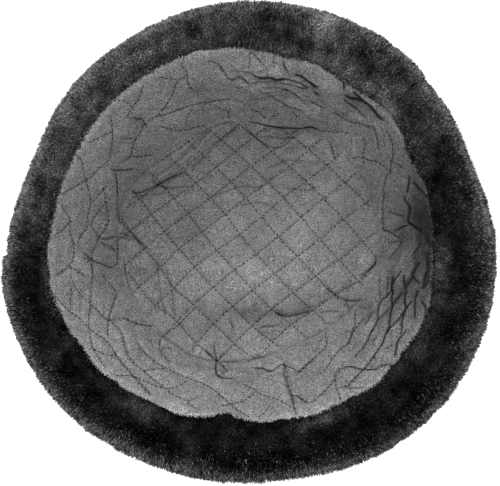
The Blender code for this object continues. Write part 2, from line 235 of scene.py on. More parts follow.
# Creases of the lining, read in the photograph
# depth, below 0 for a ridge, half width in pixels, and the places on it
CREASES = (
    (3.0, 3.4, (249, 122), (257, 123), (268, 126), (279, 128), (300, 129), (310, 127), (319, 130)),
    (1.0, 1.1, (251, 134), (270, 129)),
    (1.2, 1.1, (258, 137), (273, 137), (283, 138), (294, 137)),
    (1.1, 0.9, (244, 125), (253, 135), (262, 142), (271, 147), (280, 147), (288, 142), (297, 135),
     (303, 132)),
    (0.8, 1.2, (269, 132), (283, 135), (296, 131)),
    (0.7, 1.8, (283, 149), (299, 147), (312, 146)),
    (2.0, 1.2, (330, 141), (332, 149), (335, 158)),
    (2.2, 1.7, (184, 172), (170, 178), (155, 186), (140, 193), (133, 192)),
    (-3.0, 3.0, (193, 152), (176, 166), (160, 178)),
    (1.6, 1.3, (152, 181), (163, 187), (170, 188), (190, 186)),
    (1.4, 1.2, (130, 200), (140, 196), (168, 193)),
    (-2.8, 2.6, (214, 131), (197, 150)),
    (-2.2, 2.4, (219, 128), (229, 124)),
    (1.0, 2.2, (236, 128), (221, 140), (205, 156), (192, 168)),
    (0.9, 1.8, (209, 128), (193, 144), (178, 157)),
    (1.5, 1.3, (118, 233), (133, 238), (150, 251)),
    (1.3, 1.1, (157, 265), (160, 290), (166, 318)),
    (1.3, 1.0, (166, 268), (172, 292), (175, 320)),
    (1.2, 1.0, (230, 320), (234, 330)),
    (1.6, 3.0, (276, 313), (288, 316), (310, 311)),
    (1.5, 1.3, (260, 327), (281, 326)),
    (1.8, 1.7, (328, 290), (345, 300), (362, 300)),
    (1.2, 1.2, (345, 300), (350, 309)),
    (1.2, 1.2, (320, 312), (340, 311)),
    (1.6, 2.0, (377, 260), (368, 271), (362, 277)),
    (1.2, 2.2, (215, 196), (240, 187), (262, 188)),
    (1.2, 2.2, (268, 168), (290, 160), (318, 163)),
    (-0.9, 2.6, (262, 190), (290, 172), (312, 178)),
    (1.1, 2.0, (238, 205), (262, 203), (280, 212)),
    (1.1, 1.8, (286, 188), (306, 190), (318, 186)),
    (2.6, 2.2, (228, 78), (233, 80), (240, 77), (249, 84)),
    (1.0, 1.0, (231, 72), (237, 71), (244, 72), (253, 73)),
    (2.0, 1.6, (252, 74), (255, 76), (260, 78), (264, 78)),
    (3.0, 5.0, (260, 78), (265, 78), (271, 78), (276, 80), (284, 79)),
    (2.4, 2.2, (276, 80), (284, 79), (290, 80), (296, 82), (300, 83), (305, 86), (309, 88)),
    (2.8, 4.4, (296, 75), (300, 76), (305, 79), (309, 82), (313, 85), (316, 88)),
    (2.0, 1.2, (312, 83), (316, 86), (320, 87)),
    (2.0, 1.2, (300, 80), (306, 82)),
    (1.6, 1.0, (278, 82), (285, 84), (290, 85), (296, 86), (301, 88), (307, 89)),
    (1.6, 1.0, (250, 83), (256, 83), (260, 82), (267, 82), (271, 81)),
    (1.5, 1.0, (260, 87), (265, 88), (271, 88), (278, 88), (285, 89), (289, 91), (293, 93), (297, 96)),
    (1.6, 1.1, (253, 90), (259, 91), (263, 93), (271, 93), (278, 92), (284, 90), (290, 91)),
    (1.3, 1.2, (284, 104), (287, 107), (289, 109)),
    (0.9, 1.4, (250, 99), (258, 99), (266, 97), (272, 96)),
    (1.6, 4.5, (313, 91), (317, 94), (321, 96)),
    (0.9, 1.2, (303, 95), (309, 97)),
    (1.1, 1.2, (275, 52), (274, 57), (273, 62), (271, 68)),
    (2.8, 3.4, (284, 61), (284, 66), (287, 70)),
    (2.0, 2.2, (273, 62), (278, 64)),
    (1.8, 1.8, (285, 55), (287, 60)),
    (0.8, 1.2, (252, 72), (262, 71), (271, 69)),
    (1.0, 1.0, (232, 98), (239, 101), (244, 103)),
    (3.0, 4.4, (337, 73), (340, 79), (343, 82), (344, 86), (344, 90)),
    (2.6, 3.4, (354, 92), (358, 96), (361, 99), (363, 101)),
    (2.6, 3.6, (363, 101), (367, 104), (371, 107), (375, 112)),
    (2.4, 3.6, (345, 95), (351, 98), (357, 99), (362, 101)),
    (2.6, 4.0, (375, 112), (379, 117), (383, 120)),
    (1.0, 1.4, (376, 106), (381, 106), (386, 107)),
    (0.8, 1.0, (330, 112), (338, 114), (349, 112), (354, 111)),
    (1.8, 1.2, (409, 176), (409, 182), (408, 188), (407, 192)),
    (2.4, 1.8, (414, 182), (419, 188), (423, 192), (427, 197)),
    (-1.5, 1.2, (416, 181), (421, 187), (425, 191), (428, 195)),
    (1.2, 1.4, (404, 195), (405, 200), (409, 205)),
    (2.2, 1.6, (409, 205), (410, 210), (409, 216), (408, 221), (412, 225)),
    (2.6, 3.0, (411, 224), (415, 227), (420, 230)),
    (0.9, 4.5, (388, 211), (396, 214), (404, 216)),
    (1.5, 2.0, (392, 232), (397, 230), (402, 227), (408, 225)),
    (1.3, 1.8, (388, 243), (394, 242), (400, 241)),
    (2.2, 1.4, (426, 232), (427, 238), (429, 243), (434, 248)),
    (2.8, 3.0, (393, 277), (392, 284), (392, 288), (393, 293)),
    (2.0, 1.6, (393, 293), (392, 297), (392, 302), (392, 307), (391, 312), (390, 319), (389, 328),
     (387, 334)),
    (1.8, 1.5, (401, 271), (397, 277), (394, 281), (392, 286)),
    (2.0, 1.5, (391, 291), (386, 297), (382, 300), (379, 306), (378, 313), (378, 319), (376, 324),
     (371, 333)),
    (1.8, 1.5, (402, 293), (398, 298), (394, 303), (392, 308)),
    (1.6, 1.2, (389, 309), (385, 313), (381, 317), (378, 320)),
    (2.2, 1.8, (404, 276), (404, 282), (406, 289), (405, 297), (405, 303), (406, 308)),
    (2.2, 2.0, (406, 308), (404, 314), (402, 322), (402, 328), (401, 333)),
    (1.9, 1.5, (412, 278), (409, 283), (406, 287)),
    (2.8, 2.2, (419, 263), (415, 270), (413, 275), (416, 280), (419, 283)),
    (3.0, 2.6, (428, 257), (428, 263), (428, 269), (426, 275), (424, 282), (423, 288)),
    (2.4, 2.0, (430, 277), (427, 283), (424, 287)),
    (1.9, 1.5, (412, 301), (408, 306), (406, 309), (402, 314), (399, 319), (395, 323), (391, 327),
     (388, 331)),
    (2.0, 2.0, (418, 291), (416, 296), (415, 301), (415, 307), (415, 318)),
    (2.0, 2.4, (422, 302), (425, 306), (426, 310), (425, 317), (422, 326)),
    (2.0, 2.2, (430, 318), (426, 326), (421, 333)),
    (1.1, 1.2, (388, 275), (388, 283), (387, 291), (388, 296)),
    (0.9, 1.2, (380, 275), (380, 291), (381, 298)),
    (1.2, 1.4, (376, 309), (371, 314), (368, 321), (365, 325)),
    (1.3, 1.4, (375, 256), (375, 264), (373, 267), (368, 271)),
    (1.9, 2.0, (376, 325), (371, 332), (369, 338), (366, 343), (364, 347)),
    (1.4, 1.4, (377, 338), (371, 341)),
    (1.8, 1.8, (389, 327), (386, 333), (384, 339), (382, 344)),
    (1.8, 1.6, (406, 330), (403, 335), (399, 339)),
    (2.2, 3.0, (399, 339), (397, 344), (396, 350), (395, 357)),
    (1.5, 1.2, (160, 333), (167, 339), (175, 345), (189, 354), (203, 359), (216, 361)),
    (1.6, 1.2, (216, 361), (224, 362), (233, 362), (239, 362)),
    (2.2, 2.0, (246, 361), (253, 359), (262, 357), (267, 355)),
    (1.8, 1.2, (214, 344), (215, 353), (217, 361)),
    (1.5, 1.1, (206, 351), (211, 356), (217, 361)),
    (1.3, 1.1, (224, 353), (219, 359), (217, 362), (216, 372), (219, 377), (224, 379)),
    (1.2, 1.0, (217, 362), (223, 367), (228, 372)),
    (1.4, 2.6, (285, 364), (284, 372), (286, 382), (289, 391), (294, 405)),
    (1.2, 1.0, (184, 414), (191, 411), (200, 413), (202, 415)),
    (-2.4, 4.0, (367, 96), (377, 100), (387, 108)),
    (-1.6, 2.0, (432, 246), (433, 258), (432, 272)),
    (2.6, 2.0, (354, 92), (358, 96), (363, 100), (368, 104)),
    (1.0, 1.4, (126, 190), (120, 205), (119, 221)),
    (1.2, 1.2, (82, 252), (93, 261), (103, 264), (114, 268)),
    (1.2, 3.4, (101, 239), (117, 237), (133, 240)),
    (1.2, 1.0, (124, 258), (126, 272), (129, 286)),
)

# Stitched lines of the lining's wall, read in the photograph
# depth, half width in pixels, and the places on it
SEAMS = (
    (1.3, 1.1, (219, 66), (224, 71), (228, 78)),
    (2.0, 1.2, (293, 93), (297, 96), (302, 100), (305, 103)),
    (1.8, 1.2, (265, 93), (271, 96), (275, 99), (280, 101), (285, 104), (290, 107), (294, 108),
     (298, 109), (304, 112)),
    (1.4, 1.2, (311, 102), (314, 103), (318, 105), (322, 107), (326, 109)),
    (0.9, 1.0, (250, 50), (256, 56), (260, 61), (266, 67)),
    (1.0, 1.0, (251, 109), (255, 111), (259, 112), (262, 115), (266, 118)),
    (1.2, 1.0, (292, 111), (295, 114), (299, 118)),
    (0.8, 1.0, (272, 117), (276, 114), (280, 113)),
    (1.3, 1.2, (344, 99), (348, 103), (353, 106), (357, 109), (362, 114), (367, 117)),
    (1.2, 1.0, (372, 124), (374, 127), (375, 131), (377, 138), (378, 145), (379, 152)),
    (1.0, 1.0, (386, 130), (388, 133), (391, 138), (392, 142)),
    (1.3, 1.0, (392, 142), (393, 148), (393, 157), (391, 161), (391, 167), (390, 172), (387, 176),
     (385, 182), (384, 189)),
    (1.0, 1.0, (391, 161), (395, 163), (400, 166), (404, 169)),
    (1.3, 1.0, (384, 189), (384, 196), (383, 203), (383, 214), (383, 224), (384, 230), (388, 231),
     (393, 234), (398, 237), (401, 239)),
    (0.9, 1.0, (402, 240), (400, 246), (395, 252), (389, 259)),
    (1.2, 1.0, (421, 242), (418, 248), (415, 251), (412, 256)),
    (1.5, 1.2, (382, 344), (379, 349), (374, 356), (377, 361)),
    (0.9, 1.0, (393, 344), (389, 347), (384, 349)),
    (1.1, 1.0, (374, 356), (370, 362), (367, 366), (361, 372), (358, 375), (354, 379), (350, 383),
     (348, 388)),
    (1.2, 1.0, (345, 367), (351, 367), (359, 369), (365, 369), (374, 370), (377, 369), (379, 366),
     (384, 365), (393, 364)),
    (0.9, 1.0, (345, 388), (355, 388), (366, 388)),
    (1.0, 1.0, (364, 347), (359, 352), (356, 356), (353, 359)),
    (1.2, 1.1, (354, 327), (352, 332), (350, 339), (349, 342), (346, 346)),
    (0.9, 1.0, (345, 332), (352, 332)),
    (1.6, 1.0, (255, 368), (262, 368), (268, 371), (274, 370), (281, 365), (286, 366), (293, 369),
     (299, 373)),
    (1.2, 1.0, (299, 373), (304, 368), (308, 364), (315, 357)),
    (1.2, 1.1, (291, 395), (297, 396), (302, 400), (309, 404)),
    (1.2, 1.0, (117, 180), (117, 195), (117, 210), (118, 218), (125, 227), (133, 235), (141, 244)),
    (1.2, 1.0, (118, 238), (118, 250), (117, 267)),
    (1.0, 1.0, (100, 242), (109, 246), (117, 251)),
    (1.0, 1.0, (69, 267), (78, 272), (85, 277)),
    (1.1, 1.0, (114, 354), (122, 364), (130, 373), (141, 386), (151, 396)),
    (1.0, 1.0, (195, 308), (186, 317), (176, 327), (161, 338), (159, 350)),
    (1.0, 1.0, (122, 318), (131, 322), (140, 325), (153, 326)),
)

# Middle of the painted pool of light on the tip, in pixels
LIGHT_MIDDLE = (266, 270)
LIGHT_REACH = 62

# More stitched lines of the wall, read in an unrolled copy of the photograph
# depth, and azimuth and height above the floor of the places on it
WALL_SEAMS = (
    (0.5, (-5, 105), (1, 90.5), (3.5, 83), (8, 77.5), (11.5, 72), (14, 68), (20, 71), (24, 74.5),
     (29, 80), (33, 86), (36, 92), (37, 99)),
    (0.5, (-15, 52), (-14, 46), (-11, 41), (-5, 49), (1, 59), (5, 70.5), (8, 77.5), (11.5, 86), (14, 92),
     (17, 95), (21, 99.5)),
    (0.5, (-10, 74), (-5, 70), (0, 60.5), (4, 54), (8.5, 48), (10, 36), (11.5, 27), (15, 20), (17, 15),
     (20, 7), (21, 4.5)),
    (0.5, (14, 92), (18, 83), (20, 73)),
    (0.5, (-6, 77), (-3.5, 81.5), (1, 90.5)),
    (0.6, (-8, 31), (0, 22), (3, 29), (6, 39), (8, 47), (11.5, 57), (14, 64)),
    (0.7, (8, 47), (14, 43), (18, 49.5), (22, 59), (26, 63), (30, 64), (34, 66), (40, 72), (42, 77),
     (48, 82), (50, 90), (53, 94)),
    (0.5, (24.5, 99), (26, 92), (28, 83), (29, 81), (33.5, 77), (36.5, 76), (40, 72)),
    (0.6, (30, 64), (31, 59.5), (33.5, 48.5), (36, 40.5)),
    (0.6, (40, 72), (42.5, 63), (44.5, 52), (45.5, 41.5)),
    (0.7, (21.5, 37), (26, 39.5), (31, 40.5), (38, 39.5), (43, 40), (49, 41.5), (53.5, 46), (56.5, 52),
     (60.5, 65), (63, 75), (65, 84), (67.5, 92), (70, 100)),
    (0.5, (48, 82), (51, 70.5), (51.5, 63)),
    (0.5, (36.5, 28), (32, 26), (30.5, 21.5), (31, 16), (34, 7)),
    (0.9, (56.5, 27), (59, 20), (59.5, 16), (56, 5)),
    (0.5, (60, 79), (64.5, 73), (67.5, 68.5), (70, 61.5), (72, 54), (76, 63), (80, 72), (82, 79.5),
     (84.5, 90), (85.5, 94)),
    (1.1, (85.2, 104), (85, 90), (85.4, 70), (85.2, 50), (86, 30), (85, 14)),
    (0.6, (67.5, 41.5), (71, 48.5), (73, 52.5)),
    (0.5, (72.5, 100), (75, 92), (76.5, 80)),
    (0.6, (85.4, 70), (88.5, 79.5), (90.5, 90), (94, 86), (97.5, 79.5), (101, 73), (103, 63), (106, 59.5),
     (108.5, 55)),
    (0.6, (100, 105), (100.5, 92), (101, 81.5), (102.5, 69), (105, 62.5), (108, 63), (110, 70.5),
     (112, 81.5), (114.5, 92), (117, 96), (119, 103)),
    (0.6, (101.5, 87), (106, 88.5), (109.5, 83), (114, 78.5), (119, 74), (123, 70.5), (126, 65)),
    (0.6, (97.5, 54), (101, 50.5), (105, 43), (109.5, 37), (114, 36), (118, 30.5), (122, 27),
     (126.5, 25)),
    (0.6, (90, 39.5), (95, 33), (101.5, 28), (105, 25), (107.5, 19.5), (109.5, 8.5), (111.5, 4.5)),
    (0.7, (118, 30.5), (122, 22.5), (125, 14), (127.5, 7)),
    (0.6, (130.5, 6), (130, 14), (131, 20)),
    (0.7, (186, 50), (191, 41.5), (193, 36), (195, 27), (198, 18), (199.5, 8.5), (201.5, 4.5)),
    (0.6, (204, 65), (207.5, 56), (209, 50.5), (212, 46), (217.5, 43.5)),
    (0.6, (203, 43), (200.5, 38), (199, 28.5), (196.5, 21.5), (194, 14)),
    (0.7, (208, 31), (210, 27), (212.5, 19.5), (215, 14), (218, 8.5)),
    (0.6, (250, 103), (250, 98), (250.5, 70.5)),
    (0.9, (269.5, 105), (271, 96), (270.3, 83), (271, 72), (271, 63), (270.5, 56)),
    (0.8, (259.5, 7), (259.5, 16), (262, 21.5), (264, 27)),
    (1.3, (258, 32.5), (263.5, 33), (269.5, 36), (273.5, 38), (279, 40.5), (283.5, 43.5), (286, 47),
     (288, 48.5), (292, 48.5), (294, 45), (298, 41.5), (300.5, 38), (303.5, 31.5), (306, 31.5),
     (307.5, 36)),
    (0.6, (263, 90.5), (260, 83), (259, 74)),
    (0.6, (278.5, 92.5), (276.5, 85), (274, 77), (275, 72.5), (277.5, 63), (281, 54), (286, 47)),
    (0.6, (274, 77), (271, 76)),
    (1.1, (284, 95), (287.5, 83), (291, 78), (294, 72.5), (292.5, 63), (291, 54), (292, 48.5)),
    (0.6, (294, 106), (291.5, 94), (291, 85), (291, 78)),
    (0.7, (297.5, 94), (299, 83), (301, 73), (304, 63), (307.5, 55), (309, 51.5), (311, 53), (315, 58.5),
     (318, 63), (319, 68.5), (321.5, 78), (324, 90.5), (325.5, 101)),
    (0.8, (313, 102), (314, 88.5), (316, 79.5), (319, 68), (320.5, 61.5), (323, 54), (326, 47.5),
     (330.5, 47), (333.5, 45), (336, 48.5), (338, 55), (341, 60.5)),
    (0.5, (301, 73), (303.5, 79.5), (306.5, 88), (309, 96)),
    (0.9, (327.5, 103), (329, 92.5), (331, 81.5), (332.5, 73.5), (336.5, 71.5), (339, 67), (341, 63.5),
     (343.5, 65), (346, 68.5), (347.5, 76), (349, 90.5), (349.5, 99.5)),
    (0.5, (338, 100.5), (336.5, 87), (334.5, 78), (332.5, 73.5)),
    (0.7, (300.5, 54), (298, 45)),
    (1.0, (312, 33), (315, 25), (319.5, 14)),
    (0.9, (319, 38), (322, 30.5), (324.5, 26), (328, 19.5), (332, 16), (335, 21.5), (338, 28),
     (341, 32.5), (343.5, 38), (346, 39.5), (349.5, 41.5), (352, 44)),
    (0.7, (298, 11), (300.5, 18), (302.5, 23), (303.5, 31.5)),
    (0.7, (271, 7), (275, 10.5), (279.5, 12.5), (283.5, 19.5), (286, 28), (287.5, 34)),
    (0.6, (322, 21.5), (324.5, 26), (329, 34), (333.5, 40.5)),
    (0.6, (318, 34), (323.5, 41.5), (326.5, 47.5)),
)

# More creases of the wall, in the same way
WALL_CREASES = (
    (1.8, (54, 6), (54.5, 14), (55.5, 23), (56.5, 27), (59, 29), (63, 29.5)),
    (1.6, (71.5, 17), (76.5, 21.5), (78, 27), (80, 27)),
    (0.5, (71, 98), (71.5, 84), (71.3, 70)),
    (0.8, (287.5, 63), (285.5, 56), (283.5, 51.5), (279.5, 48)),
    (0.8, (295.5, 107), (296, 92), (295.8, 80)),
    (2.2, (311.5, 43), (312, 38), (311, 30.5), (309.5, 23), (307.5, 16)),
    (1.2, (333.5, 40.5), (335.5, 34), (337.5, 28), (338.5, 21.5), (338, 8.5)),
    (1.0, (340, 24), (342, 16), (342.5, 8.5)),
    (1.4, (343.5, 47), (346, 39.5), (348, 28.5), (350, 16), (348, 7)),
    (0.8, (274, 31.5), (276.5, 27), (278, 21.5)),
)

# Painted shade and painted light: darker and lighter areas of the lining, read in the photograph, in pixels
# middle, half width, half height, share of the cloth's lightness that is lost
LINING_PATCHES = (
    (242, 243, 11, 10, 0.28),
    (273, 253, 13, 12, 0.28),
    (250, 313, 52, 18, 0.29),
    (270, 81, 20, 5, 0.2),
    (308, 87, 12, 6, 0.2),
    (306, 303, 22, 18, 0.24),
    (187, 230, 24, 24, 0.25),
    (204, 197, 26, 20, 0.1),
    (350, 296, 18, 26, 0.22),
    (322, 172, 30, 28, -0.16),
    (343, 149, 17, 19, -0.5),
    (315, 130, 16, 12, -0.14),
    (246, 274, 14, 12, -0.06),
    (302, 244, 16, 30, -0.06),
    (205, 244, 24, 16, 0.1),
    (270, 128, 40, 16, -0.1),
    (210, 142, 36, 18, -0.1),
    (160, 110, 34, 20, -0.06),
    (96, 190, 20, 40, -0.1),
    (404, 238, 16, 40, 0.17),
    (388, 200, 10, 40, 0.1),
    (400, 286, 12, 24, 0.12),
    (350, 105, 30, 16, 0.16),
    (306, 82, 22, 10, 0.12),
    (174, 300, 20, 30, 0.06),
    (238, 381, 22, 8, 0.36),
    (388, 298, 12, 22, 0.13),
    (306, 146, 12, 16, -0.34),
    (373, 118, 10, 10, 0.46),
    (296, 73, 14, 5, 0.42),
    (358, 104, 12, 7, 0.14),
    (308, 100, 12, 10, 0.08),
    (252, 312, 26, 7, 0.18),
    (404, 238, 8, 14, 0.24),
    (372, 314, 10, 12, 0.2),
    (354, 347, 14, 12, 0.18),
    (201, 328, 10, 10, 0.16),
    (256, 229, 12, 9, 0.18),
    (312, 260, 10, 9, 0.22),
    (150, 268, 16, 10, 0.16),
    (178, 156, 18, 15, -0.18),
    (330, 196, 14, 12, -0.2),
)

# Darker and lighter areas of the lining wall; the lighter ones, such as the strips just below the rim and at
# the wall's foot, are painted light
# azimuth, height, half width in degrees, half height, share of the cloth's lightness that is lost
PAINTED_WALL_PATCHES = (
    (168, 104, 30, 40, 0.62),
    (146, 88, 16, 34, 0.35),
    (125, 80, 16, 40, 0.15),
    (100, 70, 20, 50, 0.1),
    (306, 106, 34, 5, -0.22),
    (56, 106, 30, 4, -0.12),
    (255, 5, 36, 7, -0.22),
    (160, 110, 42, 7, 0.2),
    (170, 90, 13, 19, 0.28),
    (240, 112, 12, 6, 0.15),
    (75, 84, 30, 14, 0.05),
    (143, 74, 5, 16, 0.12),
    (140, 20, 22, 34, 0.08),
    (205, 86, 5, 10, -0.3),
    (214, 90, 5, 12, 0.3),
    (222, 8, 6, 8, 0.3),
    (270, 60, 4, 12, 0.25),
    (293, 62, 4, 12, 0.2),
    (240, 66, 14, 10, 0.1),
    (142, 40, 9, 12, 0.15),
)

# Fur
FUR_COLUMNS = 1.6  # columns of its skin for each degree of a flap
FUR_FOLD_ROWS = 24
FUR_HANG_ROWS = 36
FUR_ROWS = FUR_FOLD_ROWS + FUR_HANG_ROWS
RIM_ROWS = FUR_FOLD_ROWS + 4  # rows that are seen from above, where the strands are fine and dense
FOLD_SHARE = 5 / 13  # part of the way from rim seam to free edge that goes over the rim
SMALL_LOCK = 2.0
LARGE_LOCK = 5.2
PACKED = 0.82  # share of the pile's length that its packed ground fills
PACKED_COLUMNS = 2.3
PACKED_FOLD_ROWS = 42
PACKED_HANG_ROWS = 20
PACKED_LOCKS = ((9, 0.5), (LARGE_LOCK, 0.5), (2.2, 0.45), (1.1, 0.3))  # size and height of its soft locks
SHOWN = 0.6  # share of a strand's length below which it is lost in the ground
BLUNT = 0.55  # share of the strands that are cut off blunt
RIM_TUFT_WAY = 0.12  # way from the rim seam over which the pile is tufted
UNEVEN = (0.24, 0.07)  # how uneven the strands' lengths are at the rim seam, and past its tufts
SMALL_PULL = 0.3  # how far the strands lean to the middle of their small lock, as a share of the way
LARGE_PULL = 0.12  # and to that of their large lock
LOCK_SHIFT = 300  # millimetres between the patterns of the small and the large locks
STRAY = 0.6  # how far single strands lean at random
END_COVER = 0.45  # degrees that a flap's fur reaches past its solid at each end
END_LEAN = 2.2  # how far the strands there lean over the gap to the next flap
STRAND_TONE = 0.9  # lightness of the strands beside that of their place in the fur
STRAND_SPREAD = 0.68  # how unlike each other the strands are in lightness
PALE_SHARE = 0.09  # share of the strands that are paler
PALE_TONE = 0.2  # and by how much
# Painted light: the fur's outline is lighter, where light comes through the ends of its strands
FRINGE_LIGHT = 0.23  # how much lighter the fur is at its outline
FRINGE_DEPTH = 3.2  # how far in from the outline that goes, in pixels

# way from the rim seam, 0, to a flap's free edge, 1, and length of the strands
FUR_LENGTH = (
    (0.0, 4.2),
    (0.08, 6.4),
    (0.2, 9.4),
    (0.35, 10.3),
    (0.9, 9.7),
    (1.0, 5.0),
)

# azimuth, lightness from 0, black, to 1; partly the fur's own tone and partly painted light, lighter on the
# side towards the lamp
FUR_TONES = (
    (0, 0.11),
    (20, 0.1),
    (60, 0.09),
    (100, 0.08),
    (130, 0.1),
    (155, 0.12),
    (175, 0.14),
    (195, 0.19),
    (215, 0.2),
    (240, 0.2),
    (265, 0.21),
    (290, 0.24),
    (310, 0.24),
    (325, 0.22),
    (336, 0.17),
    (345, 0.12),
)

# Light and dark patches of the fur, read in the photograph
# angle from its right, distance from the hat's axis in pixels, half width of the patch in degrees,
# half width in pixels, change of lightness
FUR_PATCHES = (
    (71, 231, 6, 12, 0.19),
    (86, 236, 5, 12, -0.08),
    (255, 232, 6, 10, 0.1),
    (238, 238, 9, 7, 0.14),
    (283, 237, 8, 7, 0.08),
    (336, 240, 3, 8, 0.1),
    (4, 228, 8, 12, 0.1),
    (12, 196, 20, 10, -0.05),
    (22, 222, 8, 16, -0.06),
    (44.5, 190, 2.6, 6, 0.36),
    (293, 190, 8, 7, 0.1),
    (237, 203, 9, 7, 0.08),
    (108, 212, 5, 9, 0.05),
    (45, 212, 12, 14, 0.04),
    (0, 196, 16, 9, 0.08),
    (328, 194, 24, 9, 0.1),
    (290, 190, 10, 7, 0.08),
    (60, 194, 24, 8, 0.12),
    (237, 194, 10, 7, 0.08),
    (272, 200, 14, 12, 0.03),
    (188, 205, 10, 5, 0.12),
    (61, 202, 5, 8, 0.13),
    (-8, 188, 5, 6, 0.14),
    (250, 222, 28, 10, -0.025),
    (90, 211, 9, 11, -0.05),
)

# azimuth, half width in degrees and length of the tufts that hang over the rim seam
RIM_TUFTS = (
    (10, 5, 1.5),
    (21, 4, -1.0),
    (33, 6, -2.0),
    (48, 7, -3.5),
    (62, 4, 3.0),
    (229, 4, -2.2),
    (73, 5, -1.5),
    (91, 6, -2.4),
    (110, 8, -2.0),
    (137, 7, -2.5),
    (158, 8, -0.8),
    (176, 5, -2.0),
    (188, 4, 2.0),
    (203, 7, -2.5),
    (265, 8, -1.0),
    (343, 6, -1.5),
)

# part of the fur, its first and last row, strands for each square millimetre, width of a strand
FUR_PARTS = (
    ("rim", (0, RIM_ROWS), 11, 0.4),
    ("hang", (RIM_ROWS, FUR_ROWS), 3, 0.6),
)

# flap, end of the piece's name, and share of the flap's length that it covers
FUR_STRETCHES = (
    ("flap", "_back", (0, 0.5)),
    ("flap", "_side", (0.5, 1)),
    ("visor", "", (0, 1)),
)

SEED = 7

# Cloth
FLAP_GREY = 0.03
CROWN_GREY = 0.035
BACKING_FOLD_ROWS = 10
BACKING_HANG_ROWS = 22
CROWN_COLUMNS = 180
PANEL_COLUMNS = 240

# Outline of the crown's round panel, from the middle of its lower side to that of its upper side
# share of its radius, height
PANEL_OUTLINE = (
    (0.0, 0.0),
    (0.25, 0.0),
    (0.5, 0.0),
    (0.75, 0.0),
    (0.985, 0.0),
    (1.0, 0.3),
    (1.0, CLOTH - 0.3),
    (0.985, CLOTH),
    (0.5, CLOTH),
    (0.0, CLOTH),
)

# Light and floor
KEY_AZIMUTH = 262
KEY_ELEVATION = 58
KEY_DISTANCE = 1.5  # metres
KEY_SIZE = 0.7
KEY_POWER = 13
SKY_STRENGTH = 1.25
FLOOR_GLOW = 0.35
FLOOR_HALF = 3.0


def smooth(table, column, at, period=None):
    """Smooth curve through one column of a table, closed round the hat where a period is given."""
    rows = np.array(table, float)
    places, values = rows[:, 0], rows[:, column]
    if period:
        places = np.concatenate([places - period, places, places + period])
        values = np.tile(values, 3)
    slopes = np.gradient(values, places)
    k = np.clip(np.searchsorted(places, at, side="right") - 1, 0, len(places) - 2)
    span = places[k + 1] - places[k]
    t = (at - places[k]) / span
    start = (1 + 2 * t) * (1 - t) ** 2 * values[k] + t * (1 - t) ** 2 * span * slopes[k]
    end = t**2 * (3 - 2 * t) * values[k + 1] + t**2 * (t - 1) * span * slopes[k + 1]
    return start + end


def turn_between(azimuth, middle):
    """Degrees from a middle azimuth to others, from -180 to 180."""
    return np.mod(azimuth - middle + 180, 360) - 180


def spots(table, x, y, turning=False):
    """Sum of soft spots at places, from rows of middle, half widths and amount.

    turning says that x is an angle in degrees.
    """
    total = 0
    for middle_x, middle_y, half_x, half_y, amount in table:
        away = turn_between(x, middle_x) if turning else x - middle_x
        total = total + amount * np.exp(-((away / half_x) ** 2) - ((y - middle_y) / half_y) ** 2)
    return total


def opening_radius(azimuth):
    return smooth(WALL_SECTIONS, 1, np.mod(azimuth, 360), 360)


def tip_radius(azimuth):
    return smooth(WALL_SECTIONS, 2, np.mod(azimuth, 360), 360)


def lining_radius(azimuth, height):
    """Inner face of the lining wall before folds, at a height above the floor."""
    way = np.clip((height - TIP_LEVEL) / (RIM - TIP_LEVEL), 0, 1)
    low = tip_radius(azimuth) + GAP
    high = opening_radius(azimuth) + LINING_COVER
    return low + (high - low) * way + 3 * np.sin(math.pi * way)


def crown_radius(azimuth, height):
    """Outer face of the crown wall above its rounded edge."""
    return lining_radius(azimuth, height) + QUILT + GAP + CLOTH


def fold_depth(azimuth, height):
    depth = np.zeros(np.broadcast(azimuth, height).shape)
    for middle, level, turn, length, width, rise in WALL_FOLDS:
        round_way = turn_between(azimuth, middle) * math.radians(1) * opening_radius(middle)
        up = height - level
        along = round_way * math.cos(math.radians(turn)) + up * math.sin(math.radians(turn))
        across = up * math.cos(math.radians(turn)) - round_way * math.sin(math.radians(turn))
        depth += rise * np.exp(-((along / length * 2) ** 2) - (across / width) ** 2)
    rim_ease = np.clip((RIM - height) / 12, 0, 1)
    tip_ease = np.clip(height / 20, 0, 1)
    return depth * rim_ease * tip_ease


def round_points(azimuth, radius, height):
    """Points in space from arrays of azimuth, radius and height."""
    turn = np.radians(azimuth)
    return np.stack(np.broadcast_arrays(radius * np.cos(turn), radius * np.sin(turn), height), axis=-1)


def photo_axes():
    """Directions over the floor that are right and up in the photograph."""
    right = np.radians([PHOTO_RIGHT, PHOTO_RIGHT + 90])
    return np.stack([np.cos(right), np.sin(right)], axis=1)


def to_photo(points):
    """Places in the photograph of points in space."""
    across = points[..., :2] @ photo_axes().T * FOCAL_PIXELS / (CAMERA_HEIGHT - points[..., 2:])
    return np.stack([PHOTO_MIDDLE[0] + across[..., 0], PHOTO_MIDDLE[1] - across[..., 1]], axis=-1)


def from_photo(places, height):
    """Points in space at a height, from their places in the photograph."""
    places = np.asarray(places, float)
    across = np.stack([places[..., 0] - PHOTO_MIDDLE[0], PHOTO_MIDDLE[1] - places[..., 1]], axis=-1)
    flat = across @ photo_axes() * (CAMERA_HEIGHT - height) / FOCAL_PIXELS
    return np.concatenate([flat, np.full(flat.shape[:-1] + (1,), float(height))], axis=-1)


def noise(x, y, seed):
    """Smooth random field from -1 to 1, with a value at every whole number of x and y."""
    values = np.random.default_rng(seed).uniform(-1, 1, (256, 256))
    i, j = np.floor(x).astype(int), np.floor(y).astype(int)
    u, v = x - i, y - j
    u, v = u * u * (3 - 2 * u), v * v * (3 - 2 * v)
    i, j, next_i, next_j = i % 256, j % 256, (i + 1) % 256, (j + 1) % 256
    low = values[i, j] * (1 - u) + values[next_i, j] * u
    high = values[i, next_j] * (1 - u) + values[next_i, next_j] * u
    return low * (1 - v) + high * v


def unit(vectors):
    return vectors / np.maximum(np.linalg.norm(vectors, axis=-1, keepdims=True), 1e-9)


